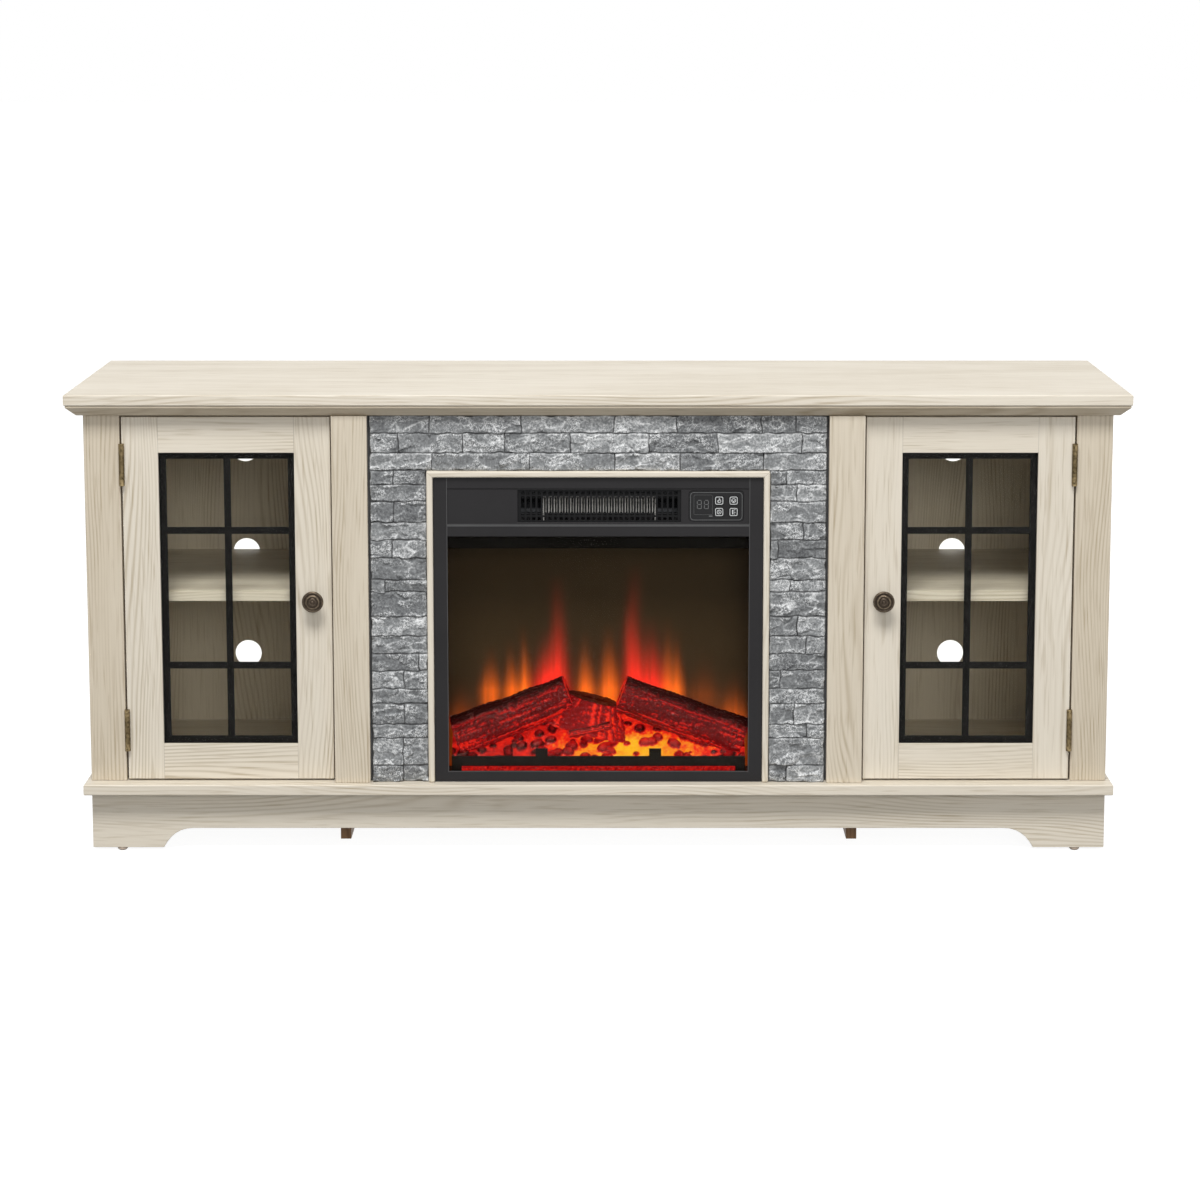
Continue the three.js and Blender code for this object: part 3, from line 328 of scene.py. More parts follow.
# Printed marks, which also glow a little
def makeLit(name, colour, strength):
    material, tree, shader = newMaterial(name, {"Emission Strength": strength, "Roughness": 0.5})
    worn = spread(noiseOf(objectPlace(tree), 900, 2), 0.3, 0.7, 0.82, 1)
    shade = mixed(worn, (0, 0, 0, 1), linear(*colour))
    feed(shader.inputs, {"Base Color": shade, "Emission Color": shade})
    return material


finishes = {
    "oak": makeOak("oakLaminate", oak["light"], oak["dark"]),
    "brownBoard": makeOak("brownBoard", (150, 116, 82), (96, 68, 44)),
    "stone": makeStone(),
    "doorGlass": makeGlass("doorGlass", (250, 250, 247), 1.07, (250, 250, 247)),
    "fireGlass": makeGlass("fireGlass", (246, 242, 236), 1.06, (190, 182, 170)),
    "gridBlack": makeGritty("gridBlack", (19, 18, 18), (9, 8, 8), 0.08),
    "bronze": makeGritty("agedBronze", (80, 70, 60), (34, 29, 25), metallic=1, grit=420, smooth=0.34,
                         rough=0.55, bump=0.3, bare=(150, 134, 112)),
    "brass": makeGritty("antiqueBrass", (84, 72, 50), (40, 33, 22), metallic=1, grit=420, smooth=0.34,
                        rough=0.55, bump=0.3, bare=(150, 132, 98)),
    "blackSteel": makeGritty("blackSteel", (44, 43, 44), (36, 35, 36), 0.12),
    "stripBlack": makeGritty("stripBlack", (9, 8, 7), (5, 5, 4), 0.05),
    "grilleBlack": makeGritty("grilleBlack", (24, 24, 25), (14, 14, 15), 0.1),
    "edgeHighlightGrey": makeGritty("paintedEdgeHighlight", (84, 84, 84), (62, 62, 63), 0.2),
    "guardGrey": makeGritty("guardWire", (44, 44, 44), (32, 32, 33), 0.15),
    "wire": makeGritty("heaterWire", (204, 202, 197), (166, 163, 157), 0.3, grit=300),
    "zinc": makeGritty("zincSteel", (176, 178, 180), (130, 132, 135), metallic=1, grit=120, smooth=0.25,
                       rough=0.45),
    "darkZinc": makeGritty("darkZinc", (84, 85, 87), (52, 53, 55), metallic=1, grit=120),
    "panel": makeGritty("panelPlastic", (33, 33, 34), (26, 26, 27), 0.15, smooth=0.25, rough=0.36),
    "print": makeLit("panelPrint", (186, 188, 188), 0.35),
    "printDim": makeLit("panelPrintDim", (84, 85, 85), 0.12),
    "ember": makeEmber(),
    "flameFilm": makeFlameFilm(),
    "glide": makeGritty("glidePlastic", (190, 174, 158), (160, 142, 124), smooth=0.35, rough=0.5),
    "circuit": makeGritty("circuitBoard", (40, 86, 54), (28, 62, 38), grit=500),
}
print("Finishes made:", len(finishes))


# Pieces

bodies = frame["record"]["behaviour"]["bodies"]
nodeBody = {node: body for body, members in bodies.items() for node in members}


def newObject(name, data):
    made = bpy.data.objects.new(name, data)
    bpy.context.scene.collection.objects.link(made)
    return made


def newMesh(name, bm):
    mesh = bpy.data.meshes.new(name)
    bm.to_mesh(mesh)
    bm.free()
    return mesh


def newPiece(name, bm, finish, replaced=(), smoothAngle=None, body="cabinet"):
    mesh = newMesh(name, bm)
    mesh.materials.append(finishes[finish])
    if smoothAngle:
        mesh.shade_smooth()
        mesh.set_sharp_from_angle(angle=math.radians(smoothAngle))
    piece = newObject(name, mesh)
    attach(piece, body)
    if replaced:
        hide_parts(*replaced)
    return mesh


# A piece that stands for a CAD node, on its body
def newFinish(node, bm, finish, smoothAngle=None):
    return newPiece(node + "_finish", bm, finish, [node], smoothAngle, nodeBody[node])


def boxOf(node):
    low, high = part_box(node)
    return low, high, (low + high) / 2


def nodeCopy(node):
    bm = bmesh.new()
    bm.from_mesh(frame["nodes"][node].data)
    ops.remove_doubles(bm, verts=bm.verts, dist=1e-6)
    ops.dissolve_limit(bm, angle_limit=math.radians(0.5), verts=bm.verts, edges=bm.edges,
            use_dissolve_boundaries=False)
    return bm


# A name with a star stands for its left and its right node
def sides(name):
    return [name.replace("*", side) for side in ("left", "right")] if "*" in name else [name]


def vertsIn(items):
    return [item for item in items if isinstance(item, bmesh.types.BMVert)]


def openEdges(bm):
    return [edge for edge in bm.edges if edge.is_boundary]


def faceOut(bm):
    ops.recalc_face_normals(bm, faces=bm.faces)


def unit(value):
    return max(0, min(1, value))


# Smooth noise of about -1 to 1: one number, or three in drift
def hum(x, y, z):
    return noise.noise(Vector((x, y, z)))


def drift(x, y, z):
    return noise.noise_vector(Vector((x, y, z)))


def bevelSharp(bm, offset, segments=2, angle=30):
    sharp = [e for e in bm.edges if len(e.link_faces) == 2 and e.calc_face_angle(0) > math.radians(angle)]
    ops.bevel(bm, geom=sharp, offset=offset, offset_type="OFFSET", affect="EDGES", segments=segments,
            profile=0.5, material=-1, clamp_overlap=True)


def addBlock(bm, low, high):
    low, high = Vector(low), Vector(high)
    verts = ops.create_cube(bm, size=1)["verts"]
    ops.scale(bm, vec=high - low, verts=verts)
    ops.translate(bm, vec=(low + high) / 2, verts=verts)


def splitAt(bm, place, direction):
    everything = bm.verts[:] + bm.edges[:] + bm.faces[:]
    ops.bisect_plane(bm, geom=everything, dist=1e-6, plane_co=place, plane_no=direction)


# A profile of (radius, height) points turned round +Z and laid along a direction
def turned(profile, place, direction, steps):
    bm = bmesh.new()
    chain = [bm.verts.new((radius, 0, height)) for radius, height in profile]
    edges = [bm.edges.new(pair) for pair in zip(chain, chain[1:])]
    ops.spin(bm, geom=chain + edges, cent=(0, 0, 0), axis=(0, 0, 1), angle=math.tau, steps=steps,
            use_merge=True)
    turn = Vector((0, 0, 1)).rotation_difference(Vector(direction)).to_matrix().to_4x4()
    ops.transform(bm, matrix=Matrix.Translation(place) @ turn, verts=bm.verts)
    ops.remove_doubles(bm, verts=bm.verts, dist=1e-6)
    faceOut(bm)
    return bm


# Oak boards: each has its grain along its own length

grainTurns = {"x": (1, 2, 0), "y": (2, 0, 1), "z": (0, 1, 2)}


# Each corner also gets the board's share of painted shade
def writeGrain(mesh, axisOf, seed, paintedShade=0):
    paintedShades = mesh.attributes.new("paintedShade", "FLOAT", "CORNER")
    paintedShades.data.foreach_set("value", [paintedShade] * len(mesh.loops))
    grain = mesh.attributes.new("grain", "FLOAT_VECTOR", "CORNER")
    offset = Vector((1.37, 0.61, 2.03)) * seed
    for face in mesh.polygons:
        order = grainTurns[axisOf(face)]
        for corner in face.loop_indices:
            place = mesh.vertices[mesh.loops[corner].vertex_index].co
            grain.data[corner].vector = Vector([place[axis] for axis in order]) + offset


# A thin stretch of each chosen face darkens as a seam
def writeSeam(mesh, chosen, shade):
    seam = mesh.attributes.new("seam", "FLOAT", "CORNER")
    for face in filter(chosen, mesh.polygons):
        for corner in face.loop_indices:
            seam.data[corner].value = shade


# tone is the board's share of painted shade
def dressBoard(node, axisOf, seed, finish="oak", edge=0.0007, tone=0):
    bm = nodeCopy(node)
    bevelSharp(bm, edge)
    writeGrain(newFinish(node, bm, finish), axisOf, seed, tone)


boards = {
    "x": ["top_panel", "base_board", "plinth_front", "shelf_*"],
    "y": ["plinth_*"],
    "z": ["side_panel_*", "partition_*", "stile_outer_*", "stile_inner_*", "back_panel_*"],
}
# Painted shade: the crown under the top, the back panels inside the cabinets and the stiles are darkened
boardPaintedShade = {"stile_outer_*": 0.3, "stile_inner_*": 0.25, "back_panel_*": 0.3, "crown_moulding": 0.4}
boardEdges = {"leg": 0.0005, "crown": 0.0004}


def dressBoards():
    seed = 1
    for axis, names in boards.items():
        for name in names:
            for node in sides(name):
                dressBoard(node, lambda face: axis, seed, tone=boardPaintedShade.get(name, 0))
                seed += 1
    for node in sides("support_leg_*"):
        dressBoard(node, lambda face: "z", seed, "brownBoard", boardEdges["leg"])
        seed += 1
    # the crown's side lengths run front to back
    dressBoard("crown_moulding", lambda face: "y" if abs(face.normal.x) > 0.5 else "x", seed,
            edge=boardEdges["crown"], tone=boardPaintedShade["crown_moulding"])


dressBoards()
print("Boards dressed")


# Doors: upright stiles run the full height, rails butt between them

door = dict(member=0.0504, seamWidth=0.0004, seamShade=0.55, edge=0.0008)


def dressDoor(side, seed):
    node = "door_frame_" + side
    low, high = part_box(node)
    joints = [low.x + door["member"], high.x - door["member"]]
    middle = (low.z + high.z) / 2
    reach = (high.z - low.z) / 2 - door["member"]
    bm = nodeCopy(node)
    bevelSharp(bm, door["edge"])
    for joint in joints:
        for edge in (-1, 1):
            splitAt(bm, (joint + edge * door["seamWidth"] / 2, 0, 0), (1, 0, 0))
    mesh = newFinish(node, bm, "oak")
    writeGrain(mesh, lambda face: "x" if joints[0] < face.center.x < joints[1] else "z", seed)

    def onSeam(face):
        near = min(abs(face.center.x - joint) for joint in joints)
        return near < door["seamWidth"] / 2 and abs(face.center.z - middle) > reach

    writeSeam(mesh, onSeam, door["seamShade"])


dressDoor("left", 31)
dressDoor("right", 37)


trim = dict(seed=41, mitreWidth=0.0005, mitreShade=0.6, edge=0.0022)


# The trim is mitred at its two upper corners
def dressTrim():
    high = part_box("insert_trim")[1]
    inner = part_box("insert_frame")[1]
    bm = nodeCopy("insert_trim")
    bevelSharp(bm, trim["edge"], 3)
    for side in (-1, 1):
        for edge in (-1, 1):
            splitAt(bm, (side * high.x + edge * trim["mitreWidth"] / 2, 0, high.z), (1, 0, -side))
    mesh = newFinish("insert_trim", bm, "oak")

    def axisOf(face):
        return "z" if abs(face.center.x) - inner.x > face.center.z - inner.z else "x"

    def onMitre(face):
        offMitre = (high.x - abs(face.center.x)) - (high.z - face.center.z)
        return abs(offMitre) < trim["mitreWidth"] / 2 and face.normal.y < -0.3

    writeGrain(mesh, axisOf, trim["seed"])
    writeSeam(mesh, onMitre, trim["mitreShade"])


dressTrim()
print("Doors and trim dressed")


# Plain dressed nodes: an eased copy of each with its own finish; the plain ones keep their mesh and only
# take a finish

dressed = {
    "blackSteel": ["insert_frame", "insert_housing", "ember_fender"],
    "grilleBlack": ["heater_grille"],
    "gridBlack": sides("door_grid_*"),
    "panel": ["control_panel", "key_flame", "key_heat", "key_timer", "key_temperature"],
    "circuit": ["led_board"],
}
easeOf = {"insert_frame": 0.0007, "insert_housing": 0.0004, "heater_grille": 0.00025,
        "control_panel": 0.0005, "other": 0.0003}
for finish, nodes in dressed.items():
    for node in nodes:
        bm = nodeCopy(node)
        bevelSharp(bm, easeOf.get(node, easeOf["other"]), angle=50)
        newFinish(node, bm, finish)

plain = {
    "doorGlass": sides("door_glass_*"),
    "fireGlass": ["insert_glass"],
    "darkZinc": ["blower_wheel"],
    "zinc": ["blower_motor", "flame_spindle", "spindle_motor"],
}
for finish, nodes in plain.items():
    for node in nodes:
        data = frame["nodes"][node].data
        data.materials.clear()
        data.materials.append(finishes[finish])
print("Metal, glass and plastic dressed")


# Door knobs, turned, with rings on the face

knob = dict(
    radius=0.015, reach=0.0245, steps=64,
    # radius and distance out from the door, as shares
    profile=[(0, 0), (0.6, 0), (0.62, 0.03), (0.58, 0.07), (0.42, 0.11), (0.35, 0.2), (0.33, 0.34),
             (0.38, 0.48), (0.6, 0.58), (0.86, 0.64), (0.97, 0.7), (1, 0.77), (0.96, 0.84),
             (0.86, 0.87), (0.8, 0.86), (0.77, 0.83), (0.73, 0.83), (0.7, 0.88), (0.6, 0.92),
             (0.54, 0.92), (0.5, 0.88), (0.46, 0.88), (0.42, 0.93), (0.28, 0.97), (0.22, 0.965),
             (0.18, 0.95), (0.14, 0.975), (0.06, 0.995), (0, 1)],
    # worn ridges on the face: their radii and half width, and how far out the face starts
    ridges=(0.99, 0.57, 0.33), ridgeWidth=0.05, faceFrom=0.6,
)


def buildKnob(node):
    low, high, middle = boxOf(node)
    profile = [(radius * knob["radius"], out * knob["reach"]) for radius, out in knob["profile"]]
    bm = turned(profile, (middle.x, high.y, middle.z), (0, -1, 0), knob["steps"])
    wear = bm.verts.layers.float.new("wear")
    for vert in bm.verts:
        out = (high.y - vert.co.y) / knob["reach"]
        radius = math.hypot(vert.co.x - middle.x, vert.co.z - middle.z) / knob["radius"]
        ridgeGlintAndWear = max(1 - abs(radius - place) / knob["ridgeWidth"] for place in knob["ridges"])
        vert[wear] = max(0, ridgeGlintAndWear) if out > knob["faceFrom"] else 0
    newFinish(node, bm, "bronze", 50)


for node in sides("door_knob_*"):
    buildKnob(node)


# Butt hinges: the leaves with their knuckles, worn at both ends

hinge = dict(ease=0.0002, wornEnd=0.001, wornElsewhere=0.35)


def buildLeaf(node):
    low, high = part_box(node)
    bm = nodeCopy(node)
    bevelSharp(bm, hinge["ease"], 1, 60)
    wear = bm.verts.layers.float.new("wear")
    for vert in bm.verts:
        edge = min(vert.co.z - low.z, high.z - vert.co.z)
        vert[wear] = 1 if edge < hinge["wornEnd"] else hinge["wornElsewhere"]
    newFinish(node, bm, "brass", 40)


for stem in sides("hinge_upper_*") + sides("hinge_lower_*"):
    buildLeaf(stem + "_cabinet_leaf")
    buildLeaf(stem + "_door_leaf")


# Glides

glide = dict(radius=0.0072, tip=0.0045, flare=0.0008, flareHeight=0.0004, ease=0.0003, steps=32)
for node in sides("glide_front_*") + sides("glide_rear_*"):
    low, high, middle = boxOf(node)
    tall = high.z - low.z
    radius, tip, ease = glide["radius"], glide["tip"], glide["ease"]
    profile = [(0, 0), (tip, 0), (tip + glide["flare"], glide["flareHeight"]), (radius, tall / 2),
            (radius, tall - ease), (radius - ease, tall), (0, tall)]
    newFinish(node, turned(profile, (middle.x, middle.y, low.z), (0, 0, 1), glide["steps"]), "glide", 40)
print("Knobs, hinges and glides built")


# Stone surround: courses and joints as shares, from the bottom up

stone = dict(
    sideGap=0.003, gap=0.0003, joint=0.0003, cell=0.0015, proud=0.0085, proudSpread=0.003, tilt=0.0024,
    edgeDrop=0.0011, edgeWidth=0.0014, wobble=0.0022, facet=0.0042, crumb=0.001, paintedHighlight=0.7,
    paintedHighlightEdge=0.0016, chipFree=0.001, darkJoint=0.0007, least=0.002, tone=0.36, toneSpread=0.16,
    columnCourses=[17, 28, 14, 21, 15, 19, 17, 18, 20, 25, 12, 22, 18, 18, 21, 17, 14],
    lintelCourses=[17, 19, 17],
    leftJoints=[[0.54], [0.55], [], [0.58], [], [0.58], [0.85], [], [], [], [0.25], [], [0.38], [], [0.42],
                [], [0.41]],
    rightJoints=[[0.32], [], [0.7], [0.45], [], [0.2], [], [0.66], [0.5], [], [0.36], [], [0.15], [0.6], [],
                 [0.48], [0.28]],
    lintelJoints=[[0.135, 0.35, 0.537, 0.679, 0.862], [0.063, 0.203, 0.295, 0.439, 0.611, 0.762, 0.945],
                  [0.131, 0.332, 0.535, 0.672, 0.856, 0.932]],
)


# Height of the split face, how sharp a chip is there and how coarse the face is
def splitFace(x, z, seed):
    warp = hum(x * 40, z * 40, seed) * 0.5
    place = Vector((x * 42 + warp, z * 85 + warp, seed * 3.7))
    distances, points = noise.voronoi(place)
    lean = noise.noise_vector(points[0] * 5.3)
    facet = lean.x * (place.x - points[0].x) + lean.y * (place.y - points[0].y) + 0.5 * lean.z
    crumb = noise.fractal(Vector((x * 150, z * 190, seed)), 0.7, 2.1, 4)
    crease = max(0, 1 - (distances[1] - distances[0]) / 0.13)
    strong = max(0, hum(x * 55, z * 55, seed + 9) + 0.25)
    coarse = unit(0.55 + 1.3 * lean.z)
    height = facet * stone["facet"] + crumb * stone["crumb"] * (0.4 + coarse)
    return height, min(1, crease * strong * 1.9), coarse


# Boxes are left, right, bottom and top
def addStone(bm, layers, own, wall, face, back, seed):
    half = stone["joint"] / 2
    left, right, bottom, top = (side + inset for side, inset in zip(own, (half, -half, half, -half)))
    wide, tall = right - left, top - bottom
    columns, rows = (max(4, round(length / stone["cell"])) for length in (wide, tall))
    made = ops.create_grid(bm, x_segments=columns, y_segments=rows, size=0.5)["verts"]
    tone = stone["tone"] + stone["toneSpread"] * noise.cell(Vector((seed * 1.7, 3.1, 0)))
    out = drift(seed * 0.91, 1.3, 2.7)
    for vert in made:
        u, v = vert.co.x + 0.5, vert.co.y + 0.5
        x, z = left + u * wide, bottom + v * tall
        edge = min(u * wide, (1 - u) * wide, v * tall, (1 - v) * tall)
        ragged = stone["edgeWidth"] * (1 + 0.6 * hum(x * 120, z * 120, seed))
        drop = stone["edgeDrop"] * max(0, 1 - edge / ragged) ** 2
        relief, chipAndHighlight, coarse = splitFace(x, z, seed)
        lean = out.x * (u - 0.5) * 2 + out.y * (v - 0.5) * 2
        y = face - out.z * stone["proudSpread"] + lean * stone["tilt"] - relief + drop
        sway = drift(x * 70, z * 70, 5) * stone["wobble"]
        x = min(max(x + sway.x, wall[0]), wall[1])
        z = min(max(z + sway.y, wall[2]), wall[3])
        vert.co = (x, min(y, back - stone["least"]), z)
        # A painted highlight runs along each stone's broken edge, a little in from the joint
        broken = 0.5 + hum(x * 45, z * 45, seed + 3)
        paintedHighlight = max(0, 1 - abs(edge - stone["paintedHighlightEdge"]) / stone["paintedHighlightEdge"]) * max(0, broken)
        chipAndHighlight *= 1 if edge > stone["chipFree"] else 0.4
        vert[layers["chipAndHighlight"]] = max(chipAndHighlight, stone["paintedHighlight"] * paintedHighlight)
        vert[layers["tone"]] = tone
        vert[layers["coarse"]] = coarse
        vert[layers["joint"]] = max(0, 1 - edge / stone["darkJoint"]) * unit(1.2 - broken)
    # a dictionary keeps the edges in order, which a set would not
    rim = [edge for edge in dict.fromkeys(e for vert in made for e in vert.link_edges) if edge.is_boundary]
    skirt = ops.extrude_edge_only(bm, edges=rim)["geom"]
    for vert in vertsIn(skirt):
        vert.co.y = back
        vert[layers["joint"]] = 1
    ends = [item for item in skirt if isinstance(item, bmesh.types.BMEdge) and item.is_boundary]
    ops.edgeloop_fill(bm, edges=ends)


def addStoneWall(bm, layers, wall, courses, joints, face, back, seed):
    left, right, low, top = wall
    tall = top - low
    for course, share in enumerate(courses):
        high = low + tall * share / sum(courses)
        for i, ends in enumerate(zip([0, *joints[course]], [*joints[course], 1])):
            start, end = (left + (right - left) * place for place in ends)
            addStone(bm, layers, (start, end, low, high), wall, face, back, seed + course * 20 + i)
        low = high


def buildStone():
    low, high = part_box("stone_surround")
    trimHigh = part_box("insert_trim")[1]
    stileLow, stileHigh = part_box("stile_inner_right")
    gap = stone["gap"]
    front = stileHigh.y + gap
    outer, inner, lintel = stileLow.x - stone["sideGap"], trimHigh.x + gap, trimHigh.z + gap
    backing = bmesh.new()
    corners = [(-high.x, low.z), (-inner, low.z), (-inner, lintel), (inner, lintel), (inner, low.z),
            (high.x, low.z), (high.x, high.z), (-high.x, high.z)]
    plate = backing.faces.new([backing.verts.new((x, front, z)) for x, z in corners])
    moved = ops.extrude_face_region(backing, geom=[plate])["geom"]
    ops.translate(backing, vec=(0, high.y - front, 0), verts=vertsIn(moved))
    faceOut(backing)
    joint = backing.verts.layers.float.new("joint")
    for vert in backing.verts:
        vert[joint] = 1
    newPiece("stone_backing", backing, "stone", ["stone_surround"])

    bm = bmesh.new()
    layers = {name: bm.verts.layers.float.new(name) for name in ("chipAndHighlight", "tone", "joint", "coarse")}
    columns = stone["columnCourses"]
    for wall, courses, joints, seed in (
        ((-outer, -inner, low.z, lintel), columns, stone["leftJoints"], 11),
        ((inner, outer, low.z, lintel), columns, stone["rightJoints"], 523),
        ((-outer, outer, lintel, high.z), stone["lintelCourses"], stone["lintelJoints"], 1031),
    ):
        addStoneWall(bm, layers, wall, courses, joints, front - stone["proud"], front - 0.0001, seed)
    faceOut(bm)
    print("Stones:", len(bm.faces), "faces")
    newPiece("split_stones", bm, "stone", ["stone_surround"], 55)


buildStone()


# Fire bed: three logs and a branch on a bed of embers

logs = dict(
    rise=0.134, around=132, along=882.353, leastCuts=30, bark=0.0026, fullBark=0.02, rings=7, ringRate=2200,
    endRelief=(0.0012, 0.001), emberLitHeight=0.2, emberLitFade=0.05, middleReach=0.16, most=0.62,
    # across, depth, rise and radius at each end, as shares of the bed's half width, depth, rise and depth
    ends={
        "left": [(-0.966, 0.5, 0.38, 0.47), (-0.203, 0.5, 0.85, 0.41)],
        "right": [(0.985, 0.5, 0.365, 0.46), (0.155, 0.5, 0.8425, 0.41)],
        "middle": [(-0.03, 0.5, 0.79, 0.41), (-0.09, 0.5, 0.44, 0.43)],
        "branch": [(-0.2, 0.12, 0.45, 0.08), (0.08, 0.14, 0.54, 0.1)],
    },
    # widening at each end and added light
    widths={"middle": (1.5, 2.2)},
    light={"middle": 0.06},
)
bed = dict(
    halfWidth=0.207, frontRise=0.03, slopes=[(0, 1), (0.34, 1.55), (0.7, 2.2), (1, 2.45)], cell=0.0014,
    # the sheet's upright front as a share of its run, and how far its foot stands back
    frontShare=0.3, setBack=0.0045,
    hotBelow=0.165, hotFade=0.017, hotAcross=0.045, hotReach=0.095, warmReach=0.26,
    coalPitch=(0.0165, 0.0142), lift=0.0046, grain=0.0006,
)


def bedSpan():
    low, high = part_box("log_bed")
    return Vector((0, low.y, low.z)), high.y - low.y


def glowAt(x, z):
    # the painted glow is brightest low down and right of the middle
    low = unit((bed["hotBelow"] - z) / bed["hotFade"])
    middle = math.exp(-((x - bed["hotAcross"]) / bed["hotReach"]) ** 2)
    return low * (0.15 + 0.85 * middle)


def buildLog(name, ends, seed):
    seat, depth = bedSpan()
    widths = logs["widths"].get(name, (1, 1))
    light = logs["light"].get(name, 0)

    def placed(across, inward, rise, radius):
        at = Vector((across * bed["halfWidth"], seat.y + inward * depth, seat.z + rise * logs["rise"]))
        return at, radius * depth

    (start, startRadius), (end, endRadius) = placed(*ends[0]), placed(*ends[1])
    length = (end - start).length
    bm = bmesh.new()
    ops.create_cone(bm, cap_ends=True, segments=logs["around"], radius1=startRadius, radius2=endRadius,
            depth=length)
    side = [edge for edge in bm.edges if edge.calc_length() > length / 2]
    cuts = max(logs["leastCuts"], round(logs["along"] * length))
    ops.subdivide_edges(bm, edges=side, cuts=cuts, use_grid_fill=True)
    for _ in range(logs["rings"]):
        caps = [face for face in bm.faces if len(face.verts) > 8]
        ops.inset_region(bm, faces=caps, thickness=startRadius / (logs["rings"] + 2), use_even_offset=True)
    ops.poke(bm, faces=[face for face in bm.faces if len(face.verts) > 8])
    paintedGlow = bm.verts.layers.float.new("paintedGlow")
    ridgeGlintAndWear = bm.verts.layers.float.new("ridgeGlintAndWear")
    turn = Vector((0, 0, 1)).rotation_difference(end - start).to_matrix()
    middle = (start + end) / 2
    rough = logs["bark"] * min(1, startRadius / logs["fullBark"])
    for vert in bm.verts:
        local = vert.co.copy()
        radius = math.hypot(local.x, local.y)
        onEnd = abs(abs(local.z) - length / 2) < 1e-5
        around = Vector((local.x, local.y)).normalized() if radius > 1e-6 else Vector((1, 0))
        field = Vector((around.x * 2.1, around.y * 2.1, local.z * 26 + seed))
        wander = noise.noise_vector(field * 0.9) * 0.5
        strand = Vector((around.x * 5.2, around.y * 5.2, local.z * 13 + seed))
        groove = noise.ridged_multi_fractal(strand + wander, 0.9, 2.1, 4, 1, 2)
        lump = noise.noise(field * 0.9)  # knobbly limbs under the bark
        coarse = noise.fractal(Vector((local.x * 240, local.y * 240, local.z * 240 + seed)), 0.8, 2, 3)
        bark = groove * 0.6 + coarse * 0.5
        if onEnd:
            rays = hum(around.x * 9, around.y * 9, seed) + 0.6 * math.sin(radius * logs["ringRate"])
            rayRelief, coarseRelief = logs["endRelief"]
            local.z += math.copysign(rays * rayRelief + coarse * coarseRelief, local.z)
            crack = unit(0.4 - rays * 0.8)
        else:
            local.xy += around * ((bark - 0.9) * rough + lump * rough * 0.7)
            crack = unit((0.63 - bark) / 0.25)
        share = local.z / length + 0.5
        facing = Vector((0, 0, math.copysign(1, local.z))) if onEnd else Vector((around.x, around.y, 0))
        outward = turn @ facing
        local.x *= widths[0] + (widths[1] - widths[0]) * share
        place = turn @ local + middle
        vert.co = place
        # Painted glow, more near the middle and low down by the embers; painted shade darkens the tops of
        # the logs
        rim = unit((outward.z - 0.5) / 0.35)
        inner = max(0, 1 - abs(place.x) / logs["middleReach"])
        lower = unit((logs["emberLitHeight"] - place.z) / logs["emberLitFade"])
        level = 0.08 + light + 0.07 * inner + 0.07 * lower + crack * (0.24 + 0.18 * inner + 0.14 * lower)
        vert[paintedGlow] = max(0, min(logs["most"], level * (1 - 0.9 * rim)))
        # Pale painted glints on the bark's ridges
        vert[ridgeGlintAndWear] = unit((bark - 1) * 2.2) * (1 - 0.5 * rim)
    faceOut(bm)
    newPiece("log_" + name, bm, "ember", ["log_bed"], 60)


def slopeAt(share):
    for (fromDepth, fromRise), (toDepth, toRise) in zip(bed["slopes"], bed["slopes"][1:]):
        if share <= toDepth:
            rise = fromRise + (toRise - fromRise) * (share - fromDepth) / (toDepth - fromDepth)
            return rise * bed["frontRise"]
    return bed["slopes"][-1][1] * bed["frontRise"]


